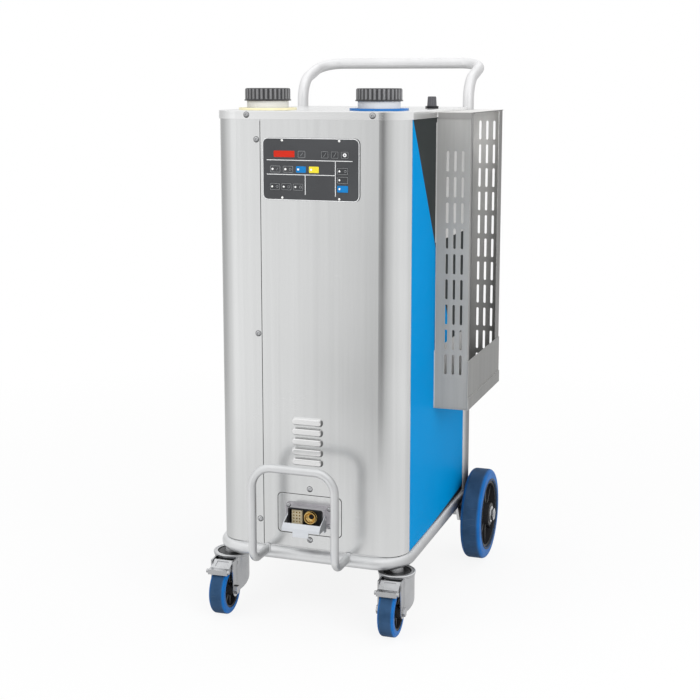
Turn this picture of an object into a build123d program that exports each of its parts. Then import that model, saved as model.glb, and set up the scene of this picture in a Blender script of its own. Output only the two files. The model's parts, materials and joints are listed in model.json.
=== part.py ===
"""Steam cleaning trolley: a sheet steel casing on a tube chassis, all sizes in millimetres.

The floor is z = 0 and +Z is up. The control panel faces -Y, and +X is on the right of someone who
faces it. The origin is on the floor under the middle of the whole trolley.
"""

from build123d import *
import os
from math import sqrt

os.makedirs("parts", exist_ok=True)

# Base ring: the bent tube that everything stands on
ring_diameter = 25.0
ring_wall = 2.0
ring_inset = 2.0  # tube centre inside the casing's side faces
ring_lead = 3.0  # tube centre ahead of the casing's front face
ring_front_bend = 60.0
ring_rear_bend = 35.0
ring_tail = 30.0  # rear run of the tube behind the posts
boss_diameter = 26.0  # weld boss that takes a caster
boss_drop = 6.7  # below the underside of the tube

# Casing
case_width = 388.0
case_depth = 470.0
case_corner_radius = 50.0
panel_height = 856.7
panel_lift = 0.8  # lower edge of the panels above the tube
sheet = 1.5
sheet_gap = 0.6  # open joint between neighbouring sheets
seam_margin = 5.8  # upright joint in the front wall, left of the control panel
seam_lap = 18.0  # strip behind the joint
base_plate_thickness = 3.0
base_corner_relief = 4.0
upstand_height = 18.0
side_rise = 13.0  # lower edge of the side sheets climbs by this towards the rear
side_rise_start = 200.0  # behind the front face

# Lid
lid_skirt = 16.0
lid_gap = 0.8
lid_bend = 2.0
lid_rear_radius = 8.0

# Push handle and its posts, one bent tube
handle_diameter = 24.0
handle_wall = 2.0
post_gap = 15.0  # post centre behind the casing
bar_overhang = 134.0  # bar centre behind the posts
bar_rise = 95.0  # bar centre above the lid
arm_rise = 54.0  # height above the lid where the posts lean back
arm_bend = 55.0
bar_bend = 50.0

# Front hoop that guards the steam socket
hoop_diameter = 16.0
hoop_wall = 1.5
hoop_width = 169.0
hoop_reach = 80.0  # ahead of the front face
hoop_rise = 196.0  # upper run above the centre of the base tube
hoop_leg_rise = 6.0  # legs above the centre of the base tube
hoop_bend = 40.0
hoop_foot_bend = 26.0

# Rear wheels and axle
rear_wheel_diameter = 200.0
rear_tyre_width = 44.0
rear_tyre_bore = 150.0
rear_tyre_shoulder = 9.0
rear_rim_width = 38.0
rear_rim_lip = 6.0
rear_web = 8.0
rear_hub_diameter = 50.0
rear_hub_length = 50.0
rear_rib_count = 8
rear_rib = 5.0
rear_rib_width = 26.0
axle_lead = 17.0  # ahead of the posts
axle_diameter = 20.0
axle_stud_diameter = 14.0
axle_collar_diameter = 30.0
axle_collar_length = 16.0
bracket_thickness = 6.0
bracket_foot = 96.0
bracket_eye = 18.0
bracket_round = 12.0
hub_end_play = 0.3
nut_flats = 24.0
nut_height = 6.0
nut_flange_diameter = 36.0
nut_flange = 1.8
stud_excess = 0.6

# Front casters, swivelling, each with a pedal brake
caster_wheel_diameter = 100.0
caster_tyre_width = 32.0
caster_tyre_bore = 74.0
caster_tyre_shoulder = 6.0
caster_rim_width = 30.0
caster_rim_lip = 4.0
caster_web = 8.0
caster_hub_diameter = 26.0
caster_hub_length = 40.0
caster_rib_count = 8
caster_rib = 5.0
caster_rib_width = 21.0
caster_inset = 16.0  # swivel axis inside the side run of the base tube
caster_setback = 28.0  # swivel axis behind the front run of the base tube
caster_trail = 40.0
caster_yaw = 2.0  # both forks stand turned by this at rest, in degrees
caster_axle_diameter = 10.0
head_diameter = 52.0
head_thickness = 4.0
kingpin_diameter = 12.0
kingpin_nut_diameter = 20.0
kingpin_nut_height = 4.0
crown_gap = 7.0  # above the tyre
crown_step_diameter = 66.0
crown_step = 3.7
crown_diameter = 73.0
crown_thickness = 6.8
crown_bend = 2.0
crown_recess_diameter = 58.0
crown_recess = 5.0
fork_plate = 3.0
fork_side_gap = 1.0
fork_radius = 35.0  # round skirt about the swivel axis
fork_blend = 20.0
fork_eye = 14.0
fork_skirt = 28.0  # rear of the skirt below the crown
axle_head_flats = 16.0
axle_head_height = 5.0
pedal_width = 48.0  # over the ends of the bar
pedal_plate = 3.0
pedal_pivot_setback = 8.0  # pivot behind the wheel's axle
pedal_pivot_rise = 4.0  # pivot above the tyre
pedal_start = 3.0  # rear edge of the plate ahead of the wheel's axle
pedal_rise = 11.0  # rear edge of the plate above the tyre
pedal_slope = 23.0
pedal_fall = 9.5  # along the slope
pedal_tread = 13.0
pedal_lip = 10.0
pedal_bar_diameter = 8.0
pedal_cheek = 2.5
pedal_cheek_gap = 0.8
pedal_cheek_depth = 16.0
pedal_eye = 5.0
pedal_pin_diameter = 6.0
pedal_window_width = 24.0
pedal_window_margin = 4.0
pedal_pad_width = 30.0
pedal_pad_gap = 4.3

# Tanks, their filler necks, collars and caps
tank_pipe_gap = 4.5  # between a tank and the steam pipe
tank_side_gap = 5.0  # inside the floor's upstand
tank_wall = 4.0
tank_front_low = 80.0  # behind the front face
tank_front_high = 46.0
tank_step_rise = 290.7  # above the panels' lower edge
tank_rear_gap = 4.0  # ahead of the boiler's port
tank_top_gap = 24.0  # below the lid
neck_inset = 71.0  # inside the tank's outer wall
neck_setback = 92.0
neck_diameter = 82.0
neck_wall = 4.0
neck_rise = 36.5  # above the lid
neck_clearance = 1.0
collar_diameter = 114.0
collar_thickness = 4.0
cap_diameter = 92.0
cap_height = 24.5
cap_roof = 5.0
cap_thread_clearance = 0.5
cap_flutes = 34
cap_flute_radius = 2.4
cap_rim = 3.0
cap_rim_inset = 3.6

# Control panel on the front wall
panel_x = 9.8
panel_drop = 109.5  # middle of the panel below the lid
panel_width = 195.0
panel_depth = 118.0
panel_thickness = 3.0
panel_corner = 11.0
panel_screw_x = 57.5
panel_screw_z = 54.3
window_depth = 1.0
display_x = -53.3  # places on the panel are from its middle
display_z = 28.6
display_width = 42.6
display_height = 12.5
settings_x = 48.7
settings_z = 28.3
settings_pitch = 19.9
settings_width = 14.4
settings_height = 12.8
status_x = -17.8
lamp_count = 4
lamp_x = -32.3
lamp_z = -0.2
lamp_pitch = 26.1
lamp_width = 20.0
lamp_height = 12.2
steam_x = -48.6
steam_z = -33.4
steam_pitch = 23.75
steam_width = 20.0
steam_height = 13.0
start_x = 64.3
start_z = -18.5
start_pitch = 16.65
start_width = 21.4
start_height = 12.7
opening_width = 173.0
opening_height = 98.0
key_clearance = 0.35
key_corner = 1.6
key_proud = 0.4
key_flange = 1.5
key_flange_thickness = 1.2
key_stop_gap = 0.3
board_setback = 12.0
board_thickness = 1.6
standoff_diameter = 6.0
standoff_x = 81.5
standoff_z = 45.5

# Louvres in the front wall
louvre_count = 5
louvre_width = 66.0
louvre_height = 17.0
louvre_depth = 6.0
louvre_pitch = 20.2
louvre_rise = 217.5  # middle of the column above the panels' lower edge
louvre_taper = 28.0
louvre_crown = 2.6  # rounding of the louvres' front edges
louvre_slit = 1.6

# Steam and control socket
socket_x = 4.0
socket_rise = 70.1  # above the panels' lower edge
socket_plate_width = 132.0
socket_plate_height = 79.0
socket_plate_thickness = 2.0
socket_plate_corner = 8.0
socket_plate_screw_rise = 52.0
flange_width = 97.0
flange_height = 47.0
flange_thickness = 4.0
flange_corner = 6.0
flange_screw_inset = 6.0
shroud_width = 73.0
shroud_height = 40.0
shroud_depth = 20.0
shroud_wall = 3.0
shroud_corner = 5.0
insert_gap = 0.2
insert_depth = 12.0
contact_offset = 19.5  # contact block left of the socket's middle
contact_block_width = 21.0
contact_block_height = 28.0
contact_block_depth = 7.0
contact_hole_diameter = 3.2
contact_pitch = 6.2
contact_columns = 3
contact_rows = 4
coupling_offset = 7.5  # right of the socket's middle
coupling_diameter = 25.0
coupling_flange_diameter = 27.0
coupling_flange = 1.6
coupling_nose = 7.0
coupling_bore_diameter = 10.0
coupling_bore_depth = 14.0
coupling_tail_diameter = 16.0
coupling_tail = 56.0  # end of the tail behind the front face
trunnion_diameter = 6.0
trunnion_reach = 12.0  # ahead of the flange
trunnion_length = 3.6
lever_gap = 0.7
lever_plate = 2.0
lever_eye = 7.0
lever_reach = 34.0  # fold of the bar ahead of the trunnions
lever_slope = 8.0
lever_fall = 8.0  # along the slope
lever_drop = 5.4  # upper edge of the bar below the trunnions
lever_lip = 6.0
lever_tail = 26.0
lever_tail_width = 10.0
lever_tab_width = 33.0
lever_tab_length = 10.0
lever_tab_lead = 2.0

# Steam regulator on the lid
regulator_inset = 29.0  # inside the casing's right face
regulator_tank_gap = 13.0  # body behind the tank
regulator_bush_flats = 24.0
regulator_bush_height = 5.0
regulator_neck_diameter = 15.0
regulator_body_diameter = 26.0
regulator_body_length = 46.0
regulator_shaft_diameter = 8.0
regulator_shaft_depth = 14.0
knob_skirt_diameter = 31.0
knob_skirt = 4.0
knob_diameter = 20.0
knob_height = 15.0
knob_flutes = 12
knob_flute_radius = 1.4

# Accessory carrier on the right side
carrier_front_setback = 216.0
carrier_tail = 16.0  # rear wall behind the post's centre
carrier_drop = 6.0  # roof below the lid
carrier_height = 601.5
carrier_width = 72.0
carrier_gap = 2.0  # clear of the lid's skirt
post_clearance = 0.6  # round the post where the carrier is notched
carrier_skirt = 13.0
carrier_front_return = 12.0
carrier_rear_return = 30.0
carrier_low_wall = 101.5
carrier_band = 25.0
carrier_mount_gap = 12.5  # mounting strips end ahead of the casing's rear face
carrier_mount_low_height = 118.0
carrier_mount_high_height = 240.0
carrier_mount_drop = 20.0  # upper mounting strip below the top
slot_width = 5.2
slot_height = 41.0
slot_columns = 3
slot_column_pitch = 15.5
slot_row_pitch = 51.6
front_slot_offset = 40.0  # middle column outside the casing's side face
rear_slot_offset = 37.6
slot_drop = 308.5  # middle of the slots below the lid
front_slot_rows = 9
rear_slot_rows = 11

# Boiler, pump, steam pipe and cable gland
boiler_diameter = 176.0
boiler_gap = 14.5  # ahead of the rear sheet
boiler_height = 430.0
boiler_wall = 4.0
boiler_foot = 26.0
boiler_foot_diameter = 24.0
boiler_foot_circle = 120.0
boiler_dish = 22.0
boiler_port_diameter = 22.0
boiler_port_length = 12.0
pipe_diameter = 10.0
pipe_wall = 1.0
pump_side_gap = 16.0  # inside the floor's upstand
pump_rear_gap = 33.5
pump_width = 86.0
pump_length = 110.0
pump_base_height = 46.0
pump_motor_diameter = 74.0
pump_motor_length = 120.0
gland_inset = 84.0  # inside the casing's left face
gland_rise = 80.7  # above the panels' lower edge
gland_flats = 27.0
gland_nut = 8.0
gland_dome_diameter = 24.0
gland_dome = 16.0
gland_bore_diameter = 12.0
gland_shank_diameter = 20.0
gland_shank = 10.0

# Screws: one button head for the whole casing
screw_head_diameter = 9.0
screw_head_height = 2.6
screw_head_taper = 26.0  # degrees
screw_shank_diameter = 4.0
screw_shank = 4.0
screw_clearance = 0.3
seam_screw_inset = 8.0  # left of the seam
seam_screw_rise = 50.7  # lowest one above the panels' lower edge
seam_screw_drop = 54.5  # highest one below the lid
skirt_screw_left = 73.5  # inside the casing's left face
skirt_screw_right = 61.5  # inside the casing's right face

# Fits
running_fit = 0.05  # radial clearance of a shaft in its bore
axial_gap = 0.3  # between faces that turn past each other

# Places worked out from the sizes
BASE = (Align.CENTER, Align.CENTER, Align.MIN)
sides = (("left", -1), ("right", 1))
bar_setback = case_depth + post_gap + bar_overhang
front_y = -(bar_setback + handle_diameter / 2 - hoop_reach - hoop_diameter / 2) / 2
rear_y = front_y + case_depth
half_width = case_width / 2
inner_half = half_width - sheet
upstand_x = inner_half - sheet
crown_bottom = caster_wheel_diameter + crown_gap
crown_rim_bottom = crown_bottom + crown_step
crown_top = crown_rim_bottom + crown_thickness
recess_floor = crown_top - crown_recess
head_bottom = recess_floor + axial_gap
boss_bottom = head_bottom + head_thickness
ring_radius = ring_diameter / 2
ring_height = boss_bottom + boss_drop + ring_radius
ring_x = half_width - ring_inset
ring_front = front_y - ring_lead
post_y = rear_y + post_gap
ring_rear = post_y + ring_tail
ring_top = ring_height + ring_radius
caster_x = ring_x - caster_inset
caster_y = ring_front + caster_setback
base_top = ring_top + base_plate_thickness
panel_bottom = ring_top + panel_lift
lid_under = panel_bottom + panel_height
lid_top = lid_under + sheet
axle_y = post_y - axle_lead
axle_height = rear_wheel_diameter / 2
hub_inner_x = ring_x + bracket_thickness / 2 + axle_collar_length + hub_end_play
axle_shoulder_x = hub_inner_x + rear_hub_length + hub_end_play
rear_wheel_x = hub_inner_x + rear_hub_length / 2
axle_end_x = axle_shoulder_x + nut_flange + nut_height + stud_excess
panel_z = lid_top - panel_drop
seam_x = panel_x - panel_width / 2 - seam_margin
louvre_z = panel_bottom + louvre_rise
socket_z = panel_bottom + socket_rise
coupling_x = socket_x + coupling_offset
plate_front = front_y - socket_plate_thickness
flange_front = plate_front - flange_thickness
insert_front = plate_front - insert_depth
trunnion_y = flange_front - trunnion_reach
boiler_y = rear_y - sheet - boiler_gap - boiler_diameter / 2
port_root = boiler_y - boiler_diameter / 2
port_front = port_root - boiler_port_length
tank_inner_x = coupling_x + pipe_diameter / 2 + tank_pipe_gap
tank_outer_x = upstand_x - tank_side_gap
tank_rear_y = port_front - tank_rear_gap
tank_top = lid_under - tank_top_gap
tank_step_height = panel_bottom + tank_step_rise
neck_x = tank_outer_x - neck_inset
neck_y = front_y + neck_setback
neck_top = lid_top + neck_rise
cap_bottom = neck_top + axial_gap + cap_roof - cap_height
regulator_x = half_width - regulator_inset
regulator_y = tank_rear_y + regulator_tank_gap + regulator_body_diameter / 2
carrier_front = front_y + carrier_front_setback
carrier_rear = post_y + carrier_tail
carrier_top = lid_top - carrier_drop
carrier_bottom = carrier_top - carrier_height
carrier_outer_x = half_width + carrier_width
carrier_inner_x = half_width + lid_gap + sheet + carrier_gap
pump_x = pump_side_gap + pump_width / 2 - upstand_x
pump_y = rear_y - sheet - pump_rear_gap - pump_length / 2
gland_x = gland_inset - half_width
gland_z = panel_bottom + gland_rise


def save(piece, node):
    """Label a finished piece and write it under its node's name."""
    piece.part.label = node
    export_step(piece.part, f"parts/{node}.step")


def facing_front(y):
    """A plane across the trolley at y: sketch x is x, sketch y is height, outwards is -Y."""
    return Plane.XZ.offset(-y)


def along_x(x, y, z):
    """A place whose own z axis lies along +X."""
    return Location((x, y, z), (0, 90, 0))


def bend_tube(corners, bends, diameter, wall, close=False):
    """Add a round tube to the open part, along straight runs joined by bends."""
    with BuildLine() as path:
        FilletPolyline(*corners, radius=bends, close=close)
    with BuildSketch(Plane(origin=path.line @ 0, z_dir=path.line % 0)) as section:
        Circle(diameter / 2)
        Circle(diameter / 2 - wall, mode=Mode.SUBTRACT)
    sweep(section.sketch, path=path.line)


def cut_rod(corners, bends, diameter, close=False):
    """Cut the space of a bent round rod out of the open part."""
    with BuildLine() as path:
        FilletPolyline(*corners, radius=bends, close=close)
    with BuildSketch(Plane(origin=path.line @ 0, z_dir=path.line % 0)) as section:
        Circle(diameter / 2)
    sweep(section.sketch, path=path.line, mode=Mode.SUBTRACT)


# Base ring with the caster bosses and the axle brackets welded to it
with BuildPart() as base_ring:
    ring_corners = (
        (-ring_x, ring_rear, ring_height),
        (-ring_x, ring_front, ring_height),
        (ring_x, ring_front, ring_height),
        (ring_x, ring_rear, ring_height),
    )
    ring_bends = (ring_rear_bend, ring_front_bend, ring_front_bend, ring_rear_bend)
    bend_tube(ring_corners, ring_bends, ring_diameter, ring_wall, close=True)
    with Locations(*[(side * caster_x, caster_y, boss_bottom) for _, side in sides]):
        Cylinder(boss_diameter / 2, ring_height - boss_bottom, align=BASE)
    for _, side in sides:
        with BuildSketch(Plane.YZ.offset(side * ring_x - bracket_thickness / 2)) as bracket:
            with BuildLine():
                Polyline(
                    (axle_y - bracket_foot / 2, ring_height),
                    (axle_y + bracket_foot / 2, ring_height),
                    (axle_y + bracket_eye, axle_height - bracket_eye),
                    (axle_y - bracket_eye, axle_height - bracket_eye),
                    close=True,
                )
            make_face()
            fillet(bracket.vertices().group_by(Axis.Y)[0], bracket_round)
        extrude(amount=bracket_thickness)
    with Locations(along_x(0, axle_y, axle_height)):
        Cylinder(axle_diameter / 2, 2 * axle_end_x, mode=Mode.SUBTRACT)
save(base_ring, "base_ring")

# Push handle: posts, leaning arms and bar in one bent tube, coped onto the ring
with BuildPart() as push_handle:
    handle_corners = (
        (-ring_x, post_y, ring_height),
        (-ring_x, post_y, lid_top + arm_rise),
        (-ring_x, front_y + bar_setback, lid_top + bar_rise),
        (ring_x, front_y + bar_setback, lid_top + bar_rise),
        (ring_x, post_y, lid_top + arm_rise),
        (ring_x, post_y, ring_height),
    )
    handle_bends = (arm_bend, bar_bend, bar_bend, arm_bend)
    bend_tube(handle_corners, handle_bends, handle_diameter, handle_wall)
    cut_rod(ring_corners, ring_bends, ring_diameter, close=True)
save(push_handle, "push_handle")

# Front hoop, coped onto the front run of the ring
with BuildPart() as front_hoop:
    hoop_x = hoop_width / 2
    hoop_y = front_y - hoop_reach
    hoop_foot = ring_height + hoop_leg_rise
    hoop_top = ring_height + hoop_rise
    hoop_corners = (
        (-hoop_x, ring_front, hoop_foot),
        (-hoop_x, hoop_y, hoop_foot),
        (-hoop_x, hoop_y, hoop_top),
        (hoop_x, hoop_y, hoop_top),
        (hoop_x, hoop_y, hoop_foot),
        (hoop_x, ring_front, hoop_foot),
    )
    hoop_bends = (hoop_foot_bend, hoop_bend, hoop_bend, hoop_foot_bend)
    bend_tube(hoop_corners, hoop_bends, hoop_diameter, hoop_wall)
    cut_rod(ring_corners, ring_bends, ring_diameter, close=True)
save(front_hoop, "front_hoop")

# Base plate: the floor of the casing, with an upstand behind each side sheet
with BuildPart() as base_plate:
    with BuildSketch(Plane.XY.offset(ring_top)) as floor_outline:
        with Locations((0, front_y + sheet)):
            Rectangle(2 * inner_half, case_depth - 2 * sheet, align=(Align.CENTER, Align.MIN))
        fillet(floor_outline.vertices().group_by(Axis.Y)[0], case_corner_radius + base_corner_relief)
    extrude(amount=base_plate_thickness)
    upstand_start = front_y + case_corner_radius + 2 * base_corner_relief
    with Locations(*[(side * (inner_half - sheet / 2), upstand_start, base_top) for _, side in sides]):
        Box(
            sheet,
            rear_y - 2 * sheet - upstand_start,
            upstand_height,
            align=(Align.CENTER, Align.MIN, Align.MIN),
        )
save(base_plate, "base_plate")

# Rear axle with its collars
with BuildPart() as rear_axle:
    with Locations(along_x(0, axle_y, axle_height)):
        Cylinder(axle_diameter / 2, 2 * axle_shoulder_x)
        Cylinder(axle_stud_diameter / 2, 2 * axle_end_x)
    collar_x = ring_x + bracket_thickness / 2 + axle_collar_length / 2
    with Locations(*[along_x(side * collar_x, axle_y, axle_height) for _, side in sides]):
        Cylinder(axle_collar_diameter / 2, axle_collar_length)
save(rear_axle, "rear_axle")

# Flanged nuts on the axle's ends
with BuildPart() as axle_nuts:
    for _, side in sides:
        flange_plane = Plane(
            origin=(side * axle_shoulder_x, axle_y, axle_height), x_dir=(0, 1, 0), z_dir=(side, 0, 0)
        )
        with BuildSketch(flange_plane):
            Circle(nut_flange_diameter / 2)
            Circle(axle_stud_diameter / 2 + running_fit, mode=Mode.SUBTRACT)
        extrude(amount=nut_flange)
        with BuildSketch(flange_plane.offset(nut_flange)):
            RegularPolygon(nut_flats / 2, 6, major_radius=False)
            Circle(axle_stud_diameter / 2 + running_fit, mode=Mode.SUBTRACT)
        extrude(amount=nut_height)
save(axle_nuts, "axle_nuts")


def wheel_rim(bore, outer, width, lip, web, hub, hub_length, ribs, rib, rib_width):
    """A wheel centre about the X axis: a hub and a rim joined by a web and by ribs on both faces."""
    with BuildPart() as rim:
        with BuildSketch(Plane.XY):
            with Locations((0, bore / 2)):
                Rectangle(hub_length, (hub - bore) / 2, align=(Align.CENTER, Align.MIN))
            with Locations((0, bore / 2)):
                Rectangle(web, (outer - bore) / 2, align=(Align.CENTER, Align.MIN))
            with Locations((0, outer / 2 - lip)):
                Rectangle(width, lip, align=(Align.CENTER, Align.MIN))
        revolve(axis=Axis.X)
        with BuildSketch(Plane.YZ.offset(-rib_width / 2)):
            with PolarLocations((hub + outer) / 4 - lip / 2, ribs):
                Rectangle((outer - hub) / 2, rib)
        extrude(amount=rib_width)
    return rim


def wheel_tyre(outer, bore, width, shoulder):
    """A tyre ring about the X axis with rounded shoulders."""
    with BuildPart() as tyre:
        with BuildSketch(Plane.XY) as section:
            with Locations((0, bore / 2)):
                Rectangle(width, (outer - bore) / 2, align=(Align.CENTER, Align.MIN))
            fillet(section.vertices().group_by(Axis.Y)[-1], shoulder)
        revolve(axis=Axis.X)
    return tyre


# Rear wheels
rear_rim_shape = wheel_rim(
    axle_diameter + 2 * running_fit,
    rear_tyre_bore,
    rear_rim_width,
    rear_rim_lip,
    rear_web,
    rear_hub_diameter,
    rear_hub_length,
    rear_rib_count,
    rear_rib,
    rear_rib_width,
)
rear_tyre_shape = wheel_tyre(rear_wheel_diameter, rear_tyre_bore, rear_tyre_width, rear_tyre_shoulder)
for name, side in sides:
    with BuildPart() as rear_rim:
        with Locations((side * rear_wheel_x, axle_y, axle_height)):
            add(rear_rim_shape.part)
    save(rear_rim, f"rear_rim_{name}")
    with BuildPart() as rear_tyre:
        with Locations((side * rear_wheel_x, axle_y, axle_height)):
            add(rear_tyre_shape.part)
    save(rear_tyre, f"rear_tyre_{name}")

# Caster pieces about the swivel axis: the wheel's axle lies along X and trails towards -Y
caster_axle_height = caster_wheel_diameter / 2
kingpin_bottom = crown_bottom - axial_gap - kingpin_nut_height
fork_inner_x = caster_hub_length / 2 + fork_side_gap
fork_outer_x = fork_inner_x + fork_plate
fork_front = caster_trail + fork_eye
fork_top = crown_rim_bottom + crown_bend
fork_tip = caster_axle_height - fork_eye
eye_corner = fork_eye * sqrt(0.5)
pedal_setback = caster_trail - pedal_pivot_setback
pedal_pivot_height = caster_wheel_diameter + pedal_pivot_rise

with BuildPart() as head_shape:
    with Locations((0, 0, head_bottom)):
        Cylinder(head_diameter / 2, head_thickness, align=BASE)
    with Locations((0, 0, kingpin_bottom)):
        Cylinder(kingpin_diameter / 2, head_bottom - kingpin_bottom, align=BASE)
        Cylinder(kingpin_nut_diameter / 2, kingpin_nut_height, align=BASE)

# Pressed skirt of the fork: open below and in front, slanting from the rear down to the axle
with BuildPart() as fork_skirt_shape:
    with BuildSketch(Plane.XY.offset(fork_tip)) as skirt_plan:
        Circle(fork_radius)
        with Locations((0, -fork_front)):
            Rectangle(2 * fork_outer_x, fork_front, align=(Align.CENTER, Align.MIN))
        fillet(skirt_plan.vertices().group_by(Axis.Y)[1], fork_blend)
        Circle(fork_radius - fork_plate, mode=Mode.SUBTRACT)
        with Locations((0, -fork_front)):
            Rectangle(
                2 * fork_inner_x, fork_front, align=(Align.CENTER, Align.MIN), mode=Mode.SUBTRACT
            )
    extrude(amount=fork_top - fork_tip)
    with BuildSketch(Plane.YZ.offset(-fork_radius)):
        with Locations((-caster_trail, caster_axle_height)):
            Circle(fork_eye)
        with BuildLine():
            Polyline(
                (-fork_front, fork_top),
                (fork_radius, fork_top),
                (fork_radius, crown_bottom - fork_skirt),
                (-caster_trail + eye_corner, caster_axle_height - eye_corner),
                (-fork_front, caster_axle_height),
                close=True,
            )
        make_face()
    extrude(amount=2 * fork_radius, mode=Mode.INTERSECT)

with BuildPart() as fork_shape:
    with Locations((0, 0, crown_rim_bottom)):
        Cylinder(crown_diameter / 2, crown_thickness, align=BASE)
    fillet(fork_shape.edges().filter_by(GeomType.CIRCLE), crown_bend)
    with Locations((0, 0, crown_bottom)):
        Cylinder(crown_step_diameter / 2, crown_step + crown_bend, align=BASE)
    add(fork_skirt_shape.part)
    with Locations((0, 0, recess_floor)):
        Cylinder(crown_recess_diameter / 2, crown_recess, align=BASE, mode=Mode.SUBTRACT)
    with Locations((0, 0, crown_bottom)):
        Cylinder(
            kingpin_diameter / 2 + running_fit, recess_floor - crown_bottom, align=BASE, mode=Mode.SUBTRACT
        )
    with Locations(along_x(0, -caster_trail, caster_axle_height)):
        Cylinder(caster_axle_diameter / 2, 2 * fork_radius, mode=Mode.SUBTRACT)
    with Locations(along_x(0, -pedal_setback, pedal_pivot_height)):
        Cylinder(pedal_pin_diameter / 2 + running_fit, 2 * fork_radius, mode=Mode.SUBTRACT)

with BuildPart() as caster_axle_shape:
    with Locations(along_x(0, -caster_trail, caster_axle_height)):
        Cylinder(caster_axle_diameter / 2, 2 * (fork_outer_x + axle_head_height))
    for side in (-1, 1):
        bolt_end = (side * fork_outer_x, -caster_trail, caster_axle_height)
        bolt_face = Plane(origin=bolt_end, x_dir=(0, 1, 0), z_dir=(side, 0, 0))
        with BuildSketch(bolt_face):
            RegularPolygon(axle_head_flats / 2, 6, major_radius=False)
        extrude(amount=axle_head_height)

caster_rim_shape = wheel_rim(
    caster_axle_diameter + 2 * running_fit,
    caster_tyre_bore,
    caster_rim_width,
    caster_rim_lip,
    caster_web,
    caster_hub_diameter,
    caster_hub_length,
    caster_rib_count,
    caster_rib,
    caster_rib_width,
)
caster_tyre_shape = wheel_tyre(
    caster_wheel_diameter, caster_tyre_bore, caster_tyre_width, caster_tyre_shoulder
)

# Brake pedal: a folded plate between two cheeks, its bar, its pivot pin and the pad over the tyre
with BuildPart() as pedal_shape:
    cheek_outer_x = fork_inner_x - pedal_cheek_gap
    pedal_rear = -caster_trail - pedal_start
    slope_front = pedal_rear - pedal_slope
    tread_front = slope_front - pedal_tread
    pedal_top = caster_wheel_diameter + pedal_rise
    tread_top = pedal_top - pedal_fall
    lip_bottom = tread_top - pedal_lip
    with BuildSketch(Plane.YZ.offset(-cheek_outer_x)):
        with BuildLine():
            Polyline(
                (pedal_rear, pedal_top),
                (slope_front, tread_top),
                (tread_front, tread_top),
                (tread_front, lip_bottom),
                (tread_front + pedal_plate, lip_bottom),
                (tread_front + pedal_plate, tread_top - pedal_plate),
                (slope_front, tread_top - pedal_plate),
                (pedal_rear, pedal_top - pedal_plate),
                close=True,
            )
        make_face()
    extrude(amount=2 * cheek_outer_x)
    with Locations((0, slope_front + pedal_window_margin, lip_bottom)):
        Box(
            pedal_window_width,
            pedal_slope - 2 * pedal_window_margin,
            pedal_top - lip_bottom,
            align=(Align.CENTER, Align.MIN, Align.MIN),
            mode=Mode.SUBTRACT,
        )
    for x_low in (-cheek_outer_x, cheek_outer_x - pedal_cheek):
        with BuildSketch(Plane.YZ.offset(x_low)):
            with Locations((-pedal_setback, pedal_pivot_height)):
                Circle(pedal_eye)
            with BuildLine():
                Polyline(
                    (-pedal_setback, pedal_pivot_height + pedal_eye),
                    (pedal_rear, pedal_top),
                    (slope_front, tread_top),
                    (tread_front, tread_top),
                    (tread_front, lip_bottom),
                    (pedal_rear, pedal_top - pedal_cheek_depth),
                    (-pedal_setback, pedal_pivot_height - pedal_eye),
                    close=True,
                )
            make_face()
        extrude(amount=pedal_cheek)
    with Locations(along_x(0, -pedal_setback, pedal_pivot_height)):
        Cylinder(pedal_pin_diameter / 2, 2 * fork_outer_x)
    bar_radius = pedal_bar_diameter / 2
    with Locations(along_x(0, tread_front + bar_radius, tread_top - bar_radius)):
        Cylinder(bar_radius, pedal_width)
    with BuildSketch(Plane.YZ.offset(-pedal_pad_width / 2)):
        with BuildLine():
            Polyline(
                (pedal_rear, pedal_top - pedal_plate / 2),
                (slope_front, tread_top - pedal_plate / 2),
                (slope_front, caster_axle_height),
                (pedal_rear, caster_axle_height),
                close=True,
            )
        make_face()
        with Locations((-caster_trail, caster_axle_height)):
            Circle(caster_wheel_diameter / 2 + pedal_pad_gap, mode=Mode.SUBTRACT)
    extrude(amount=pedal_pad_width)

with BuildPart() as caster_heads:
    with Locations(*[(side * caster_x, caster_y, 0) for _, side in sides]):
        add(head_shape.part)
save(caster_heads, "caster_heads")

caster_shapes = (
    ("caster_fork", fork_shape, (0, 0, 0)),
    ("caster_axle", caster_axle_shape, (0, 0, 0)),
    ("caster_rim", caster_rim_shape, (0, -caster_trail, caster_axle_height)),
    ("caster_tyre", caster_tyre_shape, (0, -caster_trail, caster_axle_height)),
    ("brake_pedal", pedal_shape, (0, 0, 0)),
)
for name, side in sides:
    swivel = Location((side * caster_x, caster_y, 0), (0, 0, caster_yaw))
    for node, shape, offset_in_fork in caster_shapes:
        with BuildPart() as caster_piece:
            with Locations(swivel):
                with Locations(offset_in_fork):
                    add(shape.part)
        save(caster_piece, f"{node}_{name}")


def front_sheet(x_low, x_high):
    """Add the wrapped front wall between two planes of x to the open part."""
    with BuildSketch(Plane.XY.offset(panel_bottom)) as wall_plan:
        with Locations((0, front_y)):
            RectangleRounded(
                case_width, 2 * case_depth, case_corner_radius, align=(Align.CENTER, Align.MIN)
            )
        with Locations((0, front_y + sheet)):
            RectangleRounded(
                2 * inner_half,
                2 * case_depth,
                case_corner_radius - sheet,
                align=(Align.CENTER, Align.MIN),
                mode=Mode.SUBTRACT,
            )
        with Locations((x_low, front_y)):
            Rectangle(
                x_high - x_low, case_corner_radius, align=(Align.MIN, Align.MIN), mode=Mode.INTERSECT
            )
    extrude(wall_plan.sketch, amount=panel_height)


def front_holes(places, diameter):
    """Bore round holes through the front wall of the open part, at places given as x and height."""
    with BuildSketch(facing_front(front_y - louvre_depth)) as holes:
        with Locations(*places):
            Circle(diameter / 2)
    extrude(holes.sketch, amount=-(louvre_depth + 3 * sheet), mode=Mode.SUBTRACT)


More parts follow.
